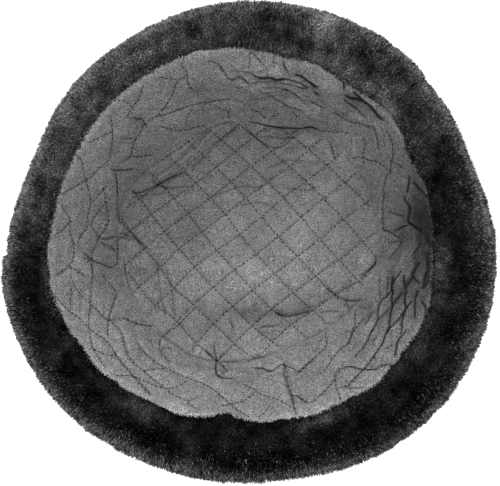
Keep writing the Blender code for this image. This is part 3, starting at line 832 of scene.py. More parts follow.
def ring_normals(points):
    """Unit normals of points in columns all round the hat, towards columns cross rows."""
    along = np.roll(points, -1, axis=0) - np.roll(points, 1, axis=0)
    return unit(np.cross(along, np.gradient(points, axis=1)))


def grid_faces(columns, rows, wrap_columns, wrap_rows):
    """Four-sided faces of a grid of points, columns by rows."""
    i = np.arange(columns if wrap_columns else columns - 1)[:, None]
    j = np.arange(rows if wrap_rows else rows - 1)[None, :]
    next_i, next_j = (i + 1) % columns, (j + 1) % rows
    corners = (i * rows + j, next_i * rows + j, next_i * rows + next_j, i * rows + next_j)
    return np.stack(np.broadcast_arrays(*corners), axis=-1).reshape(-1, 4)


def turn_out(mesh):
    """Turns a closed mesh's faces outwards."""
    shape = bmesh.new()
    shape.from_mesh(mesh)
    bmesh.ops.recalc_face_normals(shape, faces=shape.faces)
    shape.to_mesh(mesh)
    shape.free()


def add_piece(name, points, faces, material, node, uv=None, closed=True):
    """Smooth-shaded piece in metres that rides on the hat and stands for a CAD node."""
    mesh = bpy.data.meshes.new(name)
    mesh.from_pydata((points * MM).tolist(), [], faces if isinstance(faces, list) else faces.tolist())
    mesh.polygons.foreach_set("use_smooth", [True] * len(mesh.polygons))
    if uv is not None:
        layer = mesh.uv_layers.new(name="OFBake")
        corners = np.zeros(len(mesh.loops), int)
        mesh.loops.foreach_get("vertex_index", corners)
        layer.uv.foreach_set("vector", uv[corners].ravel().astype(np.float32))
    mesh.materials.append(material)
    if closed:
        turn_out(mesh)
    piece = bpy.data.objects.new(name, mesh)
    bpy.context.scene.collection.objects.link(piece)
    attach(piece, "root")
    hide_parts(node)
    return piece


def add_values(piece, name, values):
    """Keeps a value for each point of a piece, for its material."""
    layer = piece.data.attributes.new(name, "FLOAT", "POINT")
    layer.data.foreach_set("value", np.ravel(values).astype(np.float32))


# Materials


def new_material(name, roughness, shine=0.3):
    """Material with its shader, and a function that adds a node and sets its inputs."""
    made = bpy.data.materials.new(name)
    made.use_nodes = True
    nodes, links = made.node_tree.nodes, made.node_tree.links
    shader = nodes["Principled BSDF"]
    shader.inputs["Roughness"].default_value = roughness
    shader.inputs["Specular IOR Level"].default_value = shine

    def add(kind, settings=(), **inputs):
        node = nodes.new(kind)
        for key, value in dict(settings).items():
            setattr(node, key, value)
        for key, value in inputs.items():
            socket = node.inputs[int(key[1:])] if key[0] == "i" and key[1:].isdigit() else node.inputs[key]
            if isinstance(value, bpy.types.NodeSocket):
                links.new(value, socket)
            else:
                socket.default_value = value
        return node

    return made, shader, add, links


def noise_of(add, place, scale, detail=2, roughness=0.5):
    """Soft random pattern, from 0 to 1, with a number of waves for each metre."""
    node = add("ShaderNodeTexNoise", Vector=place, Scale=scale, Detail=detail, Roughness=roughness)
    return node.outputs["Fac"]


def mixed(add, way, colour, other):
    """Two colours added or multiplied."""
    settings = {"data_type": "RGBA", "blend_type": way}
    return add("ShaderNodeMix", settings, i0=1.0, i6=colour, i7=other).outputs[2]


def bumped(add, height, strength, distance):
    return add("ShaderNodeBump", Strength=strength, Distance=distance, Height=height).outputs["Normal"]


def ramp(add, factor, stops):
    """Colour ramp from (place, grey value) stops."""
    node = add("ShaderNodeValToRGB", Fac=factor)
    elements = node.color_ramp.elements
    while len(elements) < len(stops):
        elements.new(0.5)
    for element, (place, grey) in zip(elements, stops):
        element.position = place
        element.color = (grey, grey, grey, 1)
    return node.outputs["Color"]


def lining_material():
    """Grey cotton lining: fine grain, pale flecks, faint blotches, and painted shade and painted light from
    its shade attribute, darkest in its creases.
    """
    made, shader, add, links = new_material("quilted_lining", 1.0, shine=0.05)
    place = add("ShaderNodeTexCoord").outputs["Object"]
    place = add("ShaderNodeVectorMath", {"operation": "MULTIPLY"}, i0=place, i1=WEAVE_STRETCH).outputs[0]
    fine = noise_of(add, place, 2100, 1)
    grain = ramp(add, fine, ((0.3, 0.08), (0.5, 0.27), (0.7, 0.6)))
    flecks = ramp(add, noise_of(add, place, 1000, 2, 0.8), ((0.66, 0.0), (0.8, 0.3)))
    mottles = ramp(add, noise_of(add, place, 330, 3, 0.6), ((0.3, 0.79), (0.7, 1.09)))
    blotches = ramp(add, noise_of(add, place, 70, 3, 0.6), ((0.3, 0.84), (0.7, 1.08)))
    # Painted shade and painted light from the shade attribute: the cloth is darker in creases, seams and
    # wrinkles and lighter on ridges
    shade = add("ShaderNodeAttribute", {"attribute_name": "shade"}).outputs["Fac"]
    kept = add("ShaderNodeMath", {"operation": "MULTIPLY_ADD"}, i0=shade, i1=-SHADE_LOSS, i2=1.0).outputs[0]
    colour = mixed(add, "ADD", grain, flecks)
    for share in (mottles, blotches, kept):
        colour = mixed(add, "MULTIPLY", colour, share)
    links.new(colour, shader.inputs["Base Color"])
    links.new(bumped(add, fine, 0.4, 0.0002), shader.inputs["Normal"])
    return made


# Painted shade: the thread is near black, for the shade of the holes where it goes into the cloth
def thread_material():
    made, shader, add, links = new_material("quilting_thread", 0.7)
    ply = noise_of(add, add("ShaderNodeTexCoord").outputs["Object"], 2500, 1)
    links.new(ramp(add, ply, ((0.3, 0.008), (0.7, 0.025))), shader.inputs["Base Color"])
    return made


def grey_of(add, lightness, share):
    """Grey colour from a lightness as the eye sees it and a share that it is multiplied by."""
    linear = add("ShaderNodeMath", {"operation": "POWER"}, i0=lightness, i1=2.2).outputs["Value"]
    grey = add("ShaderNodeMath", {"operation": "MULTIPLY"}, i0=linear, i1=share).outputs["Value"]
    return add("ShaderNodeCombineColor", Red=grey, Green=grey, Blue=grey).outputs["Color"]


def fur_material():
    """Strand ends of the pile; their UV map gives the lightness of each and the way up it."""
    made, shader, add, links = new_material("fur", 1.0, shine=0.0)
    place = add("ShaderNodeUVMap", {"uv_map": "OFBake"}).outputs["UV"]
    split = add("ShaderNodeSeparateXYZ", Vector=place)
    # Painted shade and painted highlight: each strand is darker towards its root, deep in the pile, and
    # lighter at its tip
    along = ramp(add, split.outputs["Y"], ((0.0, 0.12), (0.6, 0.6), (1.0, 1.5)))
    links.new(grey_of(add, split.outputs["X"], along), shader.inputs["Base Color"])
    return made


def packed_fur_material():
    """Ground of packed hair, with a fine grain of light and dark hair ends."""
    made, shader, add, links = new_material("packed_fur", 1.0, shine=0.0)
    hair = noise_of(add, add("ShaderNodeTexCoord").outputs["Object"], 1500, 2, 0.7)
    tone = add("ShaderNodeAttribute", {"attribute_name": "tone"}).outputs["Fac"]
    grain = ramp(add, hair, ((0.32, 0.06), (0.5, 0.6), (0.62, 1.8), (0.75, 5.0)))
    links.new(grey_of(add, tone, grain), shader.inputs["Base Color"])
    return made


def cloth_material(name, grey):
    """Dark wool cloth with a fine twill and a little lint."""
    made, shader, add, links = new_material(name, 0.9)
    place = add("ShaderNodeTexCoord").outputs["Object"]
    bands = {"bands_direction": "DIAGONAL"}
    twill = add("ShaderNodeTexWave", bands, Vector=place, Scale=420, Distortion=1.5).outputs["Fac"]
    weave = ramp(add, twill, ((0.0, grey * 0.7), (1.0, grey * 1.2)))
    lint = ramp(add, noise_of(add, place, 700, 3, 0.7), ((0.3, 0.6), (0.7, 1.0)))
    links.new(mixed(add, "MULTIPLY", weave, lint), shader.inputs["Base Color"])
    links.new(bumped(add, twill, 0.4, 0.0003), shader.inputs["Normal"])
    shader.inputs["Sheen Weight"].default_value = 0.3
    return made


# Lining


def crossing_rows():
    """Photo places of the tip's crossings, and the numbers of the two seams that meet there."""
    places, numbers = [], []
    for down, first_up, crossings in TIP_CROSSINGS:
        for step, place in enumerate(crossings):
            places.append(place)
            numbers.append((down, first_up + step))
    return np.array(places, float), np.array(numbers, float)


def fit(start, end):
    """Smooth map from start points to end points: a cubic, and what it leaves spread over near points."""
    middle, size = start.mean(axis=0), start.std(axis=0).mean()

    def terms(points):
        x, y = ((points - middle) / size).T
        return np.stack([x**p * y**q for p in range(4) for q in range(4 - p)], axis=1)

    factors = np.linalg.lstsq(terms(start), end, rcond=None)[0]
    left = end - terms(start) @ factors
    reach = size * 0.35

    def mapped(points):
        out = terms(points) @ factors
        weight_sum = np.full(len(points), 0.3)
        spread = np.zeros_like(out)
        for place, rest in zip(start, left):
            weight = np.exp(-(((points - place) ** 2).sum(axis=1)) / reach**2)
            weight_sum += weight
            spread += weight[:, None] * rest
        return out + spread / weight_sum[:, None]

    return mapped


def tip_maps():
    """Maps between places over the tip, in millimetres, and seam numbers, in both directions."""
    places, numbers = crossing_rows()
    flat = from_photo(places, TIP_LEVEL)[:, :2]
    to_numbers, to_places = fit(flat, numbers), fit(numbers, flat)

    def settled(wanted):
        """Places whose seam numbers are exactly those wanted."""
        guess = to_places(wanted)
        for _ in range(6):
            guess = guess + to_places(wanted) - to_places(to_numbers(guess))
        return guess

    return to_numbers, settled


def seam_dip(near, far):
    """0 at a seam and 1 in the middle of a diamond, from the distances to two seams."""
    edge = 1 - np.exp(-near / SEAM_HALF_WIDTH)
    return edge * (0.75 + 0.25 * (1 - np.exp(-far / SEAM_HALF_WIDTH)))


def crease_profile(distance, width):
    """1 in the middle of a crease, and a little below 0 beside it, where the cloth is pushed up."""
    beside = np.exp(-(((distance - 2.4 * width) / (1.3 * width)) ** 2))
    return np.exp(-((distance / width) ** 2)) - 0.3 * beside


def curve(line):
    """Closely spaced places on a smooth curve through the points of a line."""
    rows = np.concatenate([np.arange(len(line))[:, None], np.array(line, float)], axis=1)
    way = np.linspace(0, len(line) - 1, CURVE_STEPS * (len(line) - 1) + 1)
    return np.stack([smooth(rows, 1, way), smooth(rows, 2, way)], axis=1)


def lining_lines():
    """Depth, half width, whether it is stitched, and places in the photograph, of each line."""
    for table, stitched in ((CREASES, False), (SEAMS, True)):
        for depth, width, *line in table:
            yield depth, width, stitched, curve(line)
    for table, stitched in ((WALL_SEAMS, True), (WALL_CREASES, False)):
        for depth, *line in table:
            azimuth, height = curve(line).T
            places = to_photo(round_points(azimuth, lining_radius(azimuth, height), height))
            yield depth, 0.7 + 0.4 * depth, stitched, places


def line_relief(points):
    """Pixels to the nearest stitched line, depth of all creases, and the painted shade and painted light of
    the creases, ridges and patches.
    """
    places = to_photo(points)
    near, deep = np.full(places.shape[:-1], 1e9), np.zeros(places.shape[:-1])
    shade = spots(LINING_PATCHES, places[..., 0], places[..., 1])
    for depth, width, stitched, line in lining_lines():
        low, high = line.min(axis=0) - LINE_REACH, line.max(axis=0) + LINE_REACH
        inside = ((places > low) & (places < high)).all(axis=-1)
        if not inside.any():
            continue
        away = np.linalg.norm(places[inside][:, None] - line[None], axis=-1)
        distance, ends = away.min(axis=1), np.minimum(away[:, 0], away[:, -1])
        fade = 0.4 + 0.6 * np.clip(ends / LINE_ENDS, 0, 1)
        deep[inside] += depth * fade * crease_profile(distance, width)
        if depth < 0:
            dark = RIDGE_SHADE * depth
        else:
            dark = (CREASE_SHADE + DEPTH_SHADE * depth) * (STITCHED_SHADE if stitched else 1)
        shade[inside] += dark * fade * np.exp(-((distance / (0.5 + 0.16 * width)) ** 2))
        if stitched:
            near[inside] = np.minimum(near[inside], distance)
    return near, deep, shade


def crumple(x, y, seed):
    """Sharp little wrinkles of soft cloth, from 0 in the wrinkles to about 1."""
    total = 0
    for size, share in WRINKLES:
        turned = (x * 0.8 + y * 0.6) / size, (y * 0.8 - x * 0.6) / (size * 0.6)
        total = total + share * np.sqrt(np.abs(noise(*turned, seed + size)))
    return total


def wrinkle_shade(crumpled):
    """Painted shade in the cloth's little wrinkles."""
    return WRINKLE_SHADE * np.clip(WRINKLE_LEVEL - crumpled, 0, 1)


to_numbers, from_numbers = tip_maps()


def tip_face(flat):
    """Height, and painted shade and painted light, of the tip's quilted face over places on it."""
    numbers = to_numbers(flat)
    aside = np.abs(numbers - np.round(numbers)) * SEAM_SPACING
    near, far = np.sort(aside, axis=1).T
    puff = TIP_PUFF * seam_dip(near, far) - SEAM_GROOVE * np.exp(-((near / 0.7) ** 2))
    level = np.concatenate([flat, np.full((len(flat), 1), TIP_LEVEL)], axis=1)
    _, depth, shade = line_relief(level)
    azimuth = np.degrees(np.arctan2(flat[:, 1], flat[:, 0]))
    inset = np.maximum(tip_radius(azimuth) - np.hypot(*flat.T), 0)
    crumpled = crumple(flat[:, 0], flat[:, 1], 11)
    sway = TIP_SWAY * noise(flat[:, 0] / 38 + 9, flat[:, 1] / 38 + 9, 3)
    rise = puff + TIP_CRUMPLE * crumpled + sway - TIP_DEPTH * depth
    rise = np.maximum(rise * np.sqrt(np.clip(inset / 4, 0, 1)), -1.2)
    # Painted light in the tip's middle, with painted shade round it, in its wrinkles and along its seams
    from_light = np.linalg.norm(to_photo(level) - LIGHT_MIDDLE, axis=1)
    shade = shade + TIP_SHADE + TIP_EDGE_SHADE * (1 - np.exp(-((from_light / LIGHT_REACH) ** 2)))
    shade = shade + 0.5 * wrinkle_shade(crumpled) + np.exp(-((aside / 0.5) ** 2)) @ TIP_SEAM_SHADES
    return TIP_LEVEL + rise + TIP_RISE * np.exp(-((inset / 6) ** 2)), shade


def lining_tip(material):
    """Quilted round panel: a square grid drawn out to the tip seam, closed below."""
    side = np.linspace(-1, 1, TIP_CELLS + 1)
    x, y = np.meshgrid(side, side, indexing="ij")
    round_x, round_y = x * np.sqrt(1 - y**2 / 2), y * np.sqrt(1 - x**2 / 2)
    radius, azimuth = np.hypot(round_x, round_y), np.degrees(np.arctan2(round_y, round_x))
    flat = round_points(azimuth, radius * tip_radius(azimuth), 0)[..., :2].reshape(-1, 2)
    height, shade = tip_face(flat)
    top = np.concatenate([flat, height[:, None]], axis=1)
    faces = grid_faces(TIP_CELLS + 1, TIP_CELLS + 1, False, False).tolist()
    index = np.arange(len(top)).reshape(TIP_CELLS + 1, TIP_CELLS + 1)
    ring = np.concatenate([index[:-1, 0], index[-1, :-1], index[:0:-1, -1], index[0, :0:-1]])
    under = np.concatenate([top[ring, :2], np.full((len(ring), 1), CLOTH + GAP)], axis=1)
    below = np.arange(len(ring)) + len(top)
    sides = np.stack([ring, np.roll(ring, -1), np.roll(below, -1), below], axis=1)
    faces += sides.tolist() + [below.tolist()]
    points = np.concatenate([top, under])
    piece = add_piece("lining_tip", points, faces, material, "lining_top")
    shade = np.concatenate([shade, np.zeros(len(ring))])
    add_values(piece, "shade", np.clip(shade, *SHADE_RANGE))
    return piece


def wall_radius(azimuth, height):
    """Radius of the wall's inner face, with its folds, quilting and creases, and how crumpled it is."""
    foot = FOOT_OVERLAP * np.exp(-(height - WALL_LOW) / 1.2)
    base = lining_radius(azimuth, height) - fold_depth(azimuth, height) - foot
    rolled = 0.5 + 0.5 * np.cos(np.radians(azimuth - ROLLED_SIDE))
    roll = RIM_ROLL * np.exp(-(((RIM - height - 9) / 6) ** 2)) * rolled
    near, depth, _ = line_relief(round_points(azimuth, base, height))
    puff = WALL_PUFF * seam_dip(near / 2, near / 2 + 6)
    crumpled = crumple(azimuth * math.radians(90), height / 2.2, 31)
    edge = np.clip((height - WALL_LOW) / 5, 0, 1) * np.clip((RIM - height) / 4, 0, 1)
    rise = (puff + WALL_CRUMPLE * crumpled - WALL_DEPTH * depth) * np.sqrt(edge)
    return base - np.maximum(rise + roll, -1.4), crumpled


def wall_heights(azimuth):
    """Heights of the rows in each column of the wall, evenly spread as they are seen from above."""
    fine = np.linspace(WALL_LOW, RIM, 4 * WALL_ROWS)
    seen = wall_radius(azimuth, fine[None, :])[0] * FOCAL_PIXELS / (CAMERA_HEIGHT - fine)
    step = np.diff(seen, axis=1)
    way = np.cumsum(np.where(step > 0, step, -HIDDEN_SHARE * step) + 0.02, axis=1)
    way = np.concatenate([np.zeros((len(way), 1)), way / way[:, -1:]], axis=1)
    return np.stack([np.interp(np.linspace(0, 1, WALL_ROWS + 1), row, fine) for row in way])


def wall_face(azimuth, height):
    """Inner face of the lining wall, with its quilting, folds, creases and wrinkles, and its painted shade
    and painted light.
    """
    radius, crumpled = wall_radius(azimuth, height)
    shade = line_relief(round_points(azimuth, radius, height))[2] + wrinkle_shade(crumpled) + WALL_SHADE
    return radius, shade + spots(PAINTED_WALL_PATCHES, azimuth, height, turning=True)


def lining_band(material):
    """Quilted wall of the lining: a dense face towards the head and a plain back, closed all round."""
    turn = np.linspace(-math.pi, math.pi, WALL_COLUMNS, endpoint=False)
    azimuth = CREASED_SIDE + np.degrees(turn - CROWDING * np.sin(turn))[:, None]
    height = wall_heights(azimuth)
    radius, shade = wall_face(azimuth, height)
    face = round_points(azimuth, radius, height)
    back_height = np.linspace(RIM, WALL_LOW, 5)[None, :]
    back = round_points(azimuth, lining_radius(azimuth, back_height) + QUILT, back_height)
    points = np.concatenate([face, back], axis=1)
    faces = grid_faces(*points.shape[:2], True, True)
    points = points.reshape(-1, 3)
    piece = add_piece("lining_band", points, faces, material, "lining_wall")
    shade = np.concatenate([shade, np.zeros(back.shape[:2])], axis=1)
    add_values(piece, "shade", np.clip(shade, *SHADE_RANGE))
    return piece


# Stitches


def lining_tree(pieces):
    """Search tree over the faces of pieces, in millimetres."""
    corners, faces = [], []
    for piece in pieces:
        first = len(corners)
        corners += [tuple(corner.co / MM) for corner in piece.data.vertices]
        faces += [tuple(first + k for k in face.vertices) for face in piece.data.polygons]
    return BVHTree.FromPolygons(corners, faces)


def seen_at(places, tree):
    """Points and face directions that the camera sees at places in the photograph."""
    camera = Vector((0, 0, CAMERA_HEIGHT))
    hits = [tree.ray_cast(camera, Vector(target) - camera)[:2] for target in from_photo(places, 0).tolist()]
    return (np.array([tuple(hit[k] or (0, 0, 0)) for hit in hits]) for k in (0, 1))


def tip_seams():
    """Each quilting seam of the tip, in the photograph."""
    fine = np.arange(*TIP_SEAM_NUMBERS, 0.02)
    for fixed in range(*TIP_SEAM_NUMBERS):
        for swap in (False, True):
            numbers = np.stack([np.full(len(fine), float(fixed)), fine], axis=1)
            flat = from_numbers(numbers[:, ::-1] if swap else numbers)
            azimuth = np.degrees(np.arctan2(flat[:, 1], flat[:, 0]))
            inside = np.hypot(*flat.T) < tip_radius(azimuth) - 1.5
            if inside.sum() > 10:
                level = np.concatenate([flat, np.full((len(flat), 1), TIP_LEVEL)], axis=1)
                yield to_photo(level)[inside]


def wall_seams():
    """Each stitched line of the wall, in the photograph."""
    return [line for _, _, stitched, line in lining_lines() if stitched]


def stitch_ends(line):
    """Places in the photograph where the stitches of a seam start and end."""
    step = np.linalg.norm(np.diff(line, axis=0), axis=1)
    way = np.concatenate([[0], np.cumsum(step)])
    start = np.arange(0.5, way[-1] - STITCH_PITCH * STITCH_SHARE, STITCH_PITCH)
    ends = (start, start + STITCH_PITCH * STITCH_SHARE)
    return [np.stack([np.interp(at, way, row) for row in line.T], axis=1) for at in ends]


def stitch_faces(count, corners):
    """Faces of stitches that have three rings of corners and then a point at each end."""
    n = STITCH_SIDES
    faces = []
    for k in range(n):
        after = (k + 1) % n
        faces += [(3 * n, after, k), (3 * n + 1, 2 * n + k, 2 * n + after)]
        for near, far in ((0, n), (n, 2 * n)):
            faces += [(near + k, near + after, far + after), (near + k, far + after, far + k)]
    return (np.array(faces)[None] + (np.arange(count) * corners)[:, None, None]).reshape(-1, 3)


def add_stitches(name, seams, tree, material, node):
    """Stitches along seams: short threads with pointed ends that go into the cloth."""
    runs = [stitch_ends(line) for line in seams]
    (start, out), (end, _) = (seen_at(np.concatenate([run[k] for run in runs]), tree) for k in (0, 1))
    length = np.linalg.norm(end - start, axis=1)
    sewn = (length > 0.5) & (length < 3 * STITCH_LONGEST)
    start, end, out, length = start[sewn], end[sewn], out[sewn], length[sewn, None]
    middle, ahead = (start + end) / 2, unit(end - start)
    reach = ahead * np.minimum(length, STITCH_LONGEST) / 2
    out = unit(out - (out * ahead).sum(axis=1, keepdims=True) * ahead)
    side = np.cross(ahead, out)
    random = np.random.default_rng(SEED)
    half = np.linalg.norm(reach, axis=1, keepdims=True) * random.uniform(0.8, 1.15, len(middle))[:, None]
    rings = []
    for place, width in ((-0.6, 0.8), (0.0, 1.0), (0.6, 0.8)):
        for turn in np.arange(STITCH_SIDES) * 2 * math.pi / STITCH_SIDES:
            across = math.cos(turn) * side + math.sin(turn) * out
            rings.append(middle + ahead * half * place + out * 0.16 + across * STITCH_HALF_WIDTH * width)
    ends = [middle + sign * ahead * half - out * 0.35 for sign in (-1, 1)]
    points = np.stack(rings + ends, axis=1)
    faces = stitch_faces(*points.shape[:2])
    add_piece(name, points.reshape(-1, 3), faces, material, node, closed=False)


# Fur


def flap_skin(sections, columns, fold_rows, hang_rows):
    """Leather side of the fur: over the rim, then down outside the crown.

    Gives its points, its outward normals and the way of each row from the rim to the free edge.
    """
    azimuth = np.linspace(sections[0][0] - END_COVER, sections[-1][0] + END_COVER, columns + 1)[:, None]
    azimuth_inside = np.clip(azimuth, sections[0][0], sections[-1][0])
    drop = smooth(sections, 2, azimuth_inside)
    pile = max(length for _, length in PILE)
    skin = smooth(sections, 1, azimuth_inside) - pile
    start = opening_radius(azimuth) + PILE[0][1]
    turn = np.linspace(0, math.pi, fold_rows + 1)[None, :]
    half_width = (skin - start) / 2
    rise = np.minimum(FOLD_RISE, 3 + half_width)
    over_radius = start + half_width * (1 - np.cos(turn))
    over_height = RIM + GAP + rise * np.sin(turn) - (FOLD_FALL + GAP) * turn / math.pi
    way = (np.arange(hang_rows) + 1)[None, :] / hang_rows
    hem = crown_radius(azimuth, RIM - drop) + HEM_CLEARANCE
    hang_radius = skin + np.sin(math.pi * way) - (skin - hem) * way**1.6
    hang_height = RIM - FOLD_FALL - (drop - FOLD_FALL) * way
    radius = np.concatenate([over_radius, hang_radius], axis=1)
    height = np.concatenate([over_height, hang_height], axis=1)
    level, rise = np.gradient(radius, axis=1), np.gradient(height, axis=1)
    length = np.hypot(level, rise)
    level, rise = level / length, rise / length
    level[:, 0], rise[:, 0] = 0, 1
    out = round_points(azimuth, -rise, level)
    over_way = np.linspace(0, FOLD_SHARE, fold_rows + 1)
    row_way = np.concatenate([over_way, FOLD_SHARE + (1 - FOLD_SHARE) * way[0]])
    return round_points(azimuth, radius, height), out, row_way


def arc_lengths(points):
    """Millimetres round the hat to each column of a skin, and down the flap to each row."""
    round_way = np.linalg.norm(np.diff(points, axis=0), axis=-1).mean(axis=1)
    down_way = np.linalg.norm(np.diff(points, axis=1), axis=-1).mean(axis=0)
    return np.concatenate([[0], np.cumsum(round_way)]), np.concatenate([[0], np.cumsum(down_way)])


def at_grid(grid, i, j):
    """Values of a grid at fractional columns and rows."""
    a, b = np.floor(i).astype(int), np.floor(j).astype(int)
    u, v = (i - a)[:, None], (j - b)[:, None]
    low = grid[a, b] * (1 - u) + grid[a + 1, b] * u
    high = grid[a, b + 1] * (1 - u) + grid[a + 1, b + 1] * u
    return low * (1 - v) + high * v


def scatter(points, density, random):
    """Random places on a skin, as fractional columns and rows, at each cell's density."""
    across = np.linalg.norm(np.diff(points, axis=0), axis=-1)[:, :-1]
    down = np.linalg.norm(np.diff(points, axis=1), axis=-1)[:-1]
    wanted = across * down * density
    count = int(wanted.sum())
    cell = random.choice(wanted.size, count, p=(wanted / wanted.sum()).ravel())
    i, j = np.divmod(cell, wanted.shape[1])
    return i + random.random(count) * 0.999, j + random.random(count) * 0.999


def lock_of(u, v, size):
    """Middle of the lock that each place is in, and five random numbers of that lock."""
    row = np.floor(v / size).astype(int)
    shift = 0.5 * (row % 2)
    column = np.floor(u / size + shift).astype(int)
    chance = np.random.default_rng(SEED).uniform(-1, 1, (512, 64, 5))[column % 512, row % 64]
    middle_u = (column + 0.5 - shift + 0.3 * chance[:, 0]) * size
    middle_v = (row + 0.5 + 0.3 * chance[:, 1]) * size
    return middle_u, middle_v, chance


def fur_tone(points, sections):
    """Lightness of the fur from 0, black, to 1, at points on its surface, with painted light at its outline
    and partly painted light round the hat.
    """
    azimuth = np.degrees(np.arctan2(points[..., 1], points[..., 0]))
    places = to_photo(points)
    x, y = places[..., 0] - PHOTO_MIDDLE[0], PHOTO_MIDDLE[1] - places[..., 1]
    turn, radius = np.degrees(np.arctan2(y, x)), np.hypot(x, y)
    tone = smooth(FUR_TONES, 1, np.mod(azimuth, 360), 360)
    tone = tone * (1 + 0.25 * noise(turn / 5, radius / 9, 51) + 0.21 * noise(turn / 2, radius / 5, 52))
    tone = tone + spots(FUR_PATCHES, turn, radius, turning=True)
    start, end = sections[0][0], sections[-1][0]
    outline = smooth(sections, 1, np.clip(np.mod(azimuth - start + 30, 360) + start - 30, start, end))
    inset = outline * FOCAL_PIXELS / (CAMERA_HEIGHT - RIM + 12) - radius
    return tone + FRINGE_LIGHT * np.clip(1 - tone / 0.5, 0.15, 1) * np.exp(-np.maximum(inset, 0) / FRINGE_DEPTH)


def rim_droop(azimuth, way):
    """How much longer the pile is where it hangs in tufts over the rim seam."""
    tufts = 0.6 * noise(azimuth / 7, azimuth * 0, 55) + 0.5 * noise(azimuth / 1.7, azimuth * 0, 56)
    for middle, half_turn, droop in RIM_TUFTS:
        tufts = tufts + droop * np.exp(-((turn_between(azimuth, middle) / half_turn) ** 2))
    return tufts * np.clip(1 - way / RIM_TUFT_WAY, 0, 1)


def strand_roots(sections, part, rows, density, random):
    """Where strands stand on a flap's skin: points and normals, millimetres along the flap and down
    it, way from the rim seam to the free edge, and the flap's whole length.
    """
    columns = int((sections[-1][0] - sections[0][0]) * FUR_COLUMNS)
    points, out, row_way = flap_skin(sections, columns, FUR_FOLD_ROWS, FUR_HANG_ROWS)
    share, row = np.arange(columns)[:, None] / columns, np.arange(FUR_ROWS)[None, :]
    inside = (share >= part[0]) & (share < part[1]) & (row >= rows[0]) & (row < rows[1])
    i, j = scatter(points, np.where(inside, density, 0.0), random)
    round_arc, down_arc = arc_lengths(points)
    u = np.interp(i, np.arange(len(round_arc)), round_arc)
    v = np.interp(j, np.arange(len(down_arc)), down_arc)
    way = np.interp(j, np.arange(len(row_way)), row_way)
    return at_grid(points, i, j), unit(at_grid(out, i, j)), u, v, way, round_arc[-1]


def strand_shapes(azimuth, u, v, way, whole, random):
    """Length of each strand, and how far it leans down the flap and along it, into its locks."""
    count = len(u)
    small_u, small_v, small = lock_of(u, v, SMALL_LOCK)
    large_u, large_v, large = lock_of(u + LOCK_SHIFT, v, LARGE_LOCK)
    length = np.interp(way, *np.array(FUR_LENGTH).T) * (1 + 0.03 * small[:, 2] + 0.03 * large[:, 2])
    uneven = np.interp(way, (0, RIM_TUFT_WAY), UNEVEN)
    length = length * (0.95 + uneven * random.uniform(-1, 1, count)) + rim_droop(azimuth, way)
    down = (0.12 + 0.1 * large[:, 3] + 0.16 * noise(u / 19, v / 19, 61)) * length
    along = (0.1 * large[:, 4] + 0.2 * noise(u / 23 + 40, v / 23, 62)) * length
    down += SMALL_PULL * (small_v - v) + LARGE_PULL * (large_v - v) + random.normal(0, STRAY, count)
    along += SMALL_PULL * (small_u - u) + LARGE_PULL * (large_u - LOCK_SHIFT - u)
    along += random.normal(0, STRAY, count)
    loose = np.interp(way, (0, 0.1, 1), (0.4, 1, 1))
    along = along * loose + END_LEAN * (np.exp((u - whole) / 3) - np.exp(-u / 3))
    return length[:, None], (down * loose)[:, None], along[:, None]


def strand_blades(start, tip, side, down, width, random):
    """Corners of each strand's blade, and whether it is cut off blunt."""
    count = len(tip)
    twist = random.uniform(-1.5, 1.5, count)[:, None]
    flat = (np.cos(twist) * side + np.sin(twist) * down) * width / 2
    flat = flat * random.uniform(0.7, 1.3, count)[:, None]
    blunt = (random.random(count) < BLUNT)[:, None]
    corners = [np.where(blunt, tip + sign * flat * 0.8, start + sign * flat) for sign in (-1, 1)]
    corners.append(np.where(blunt, start, tip))
    return np.stack(corners, axis=1).reshape(-1, 3), blunt


def add_fur(name, sections, part, rows, density, width, material, node):
    """Strands of the pile as narrow blades that lean together into locks, as far as they show.

    part is the share of the flap's length, and rows the rows of its skin, that the piece covers.
    """
    random = np.random.default_rng(SEED + sum(map(ord, name)))
    root, normal, u, v, way, whole = strand_roots(sections, part, rows, density, random)
    turn = np.arctan2(root[:, 1], root[:, 0])
    side = np.stack([-np.sin(turn), np.cos(turn), 0 * turn], axis=1)
    down = unit(np.cross(side, normal))
    length, lean_down, lean_side = strand_shapes(np.degrees(turn), u, v, way, whole, random)
    tip = root + unit(normal * length + lean_down * down + lean_side * side) * length
    blades, blunt = strand_blades(root + (tip - root) * SHOWN, tip, side, down, width, random)
    count = len(tip)
    tufts = 1 + 0.34 * noise(u / 1.1, v / 1.6, 53) + 0.25 * noise(u / 2.4, v / 3.2, 54)
    tone = fur_tone(tip, sections) * tufts * np.exp(random.normal(0, STRAND_SPREAD, count)) * STRAND_TONE
    tone = np.clip(tone + PALE_TONE * (random.random(count) < PALE_SHARE), 0.01, 0.5)
    across = np.stack([tone - 0.01, tone + 0.01, tone], axis=1)
    along = np.where(blunt, (1.0, 1.0, 0.0), (0.0, 0.0, 1.0))
    uv = np.stack([across, along], axis=-1).reshape(-1, 2)
    faces = np.arange(3 * count).reshape(-1, 3)
    add_piece(name, blades, faces, material, node, uv, closed=False)


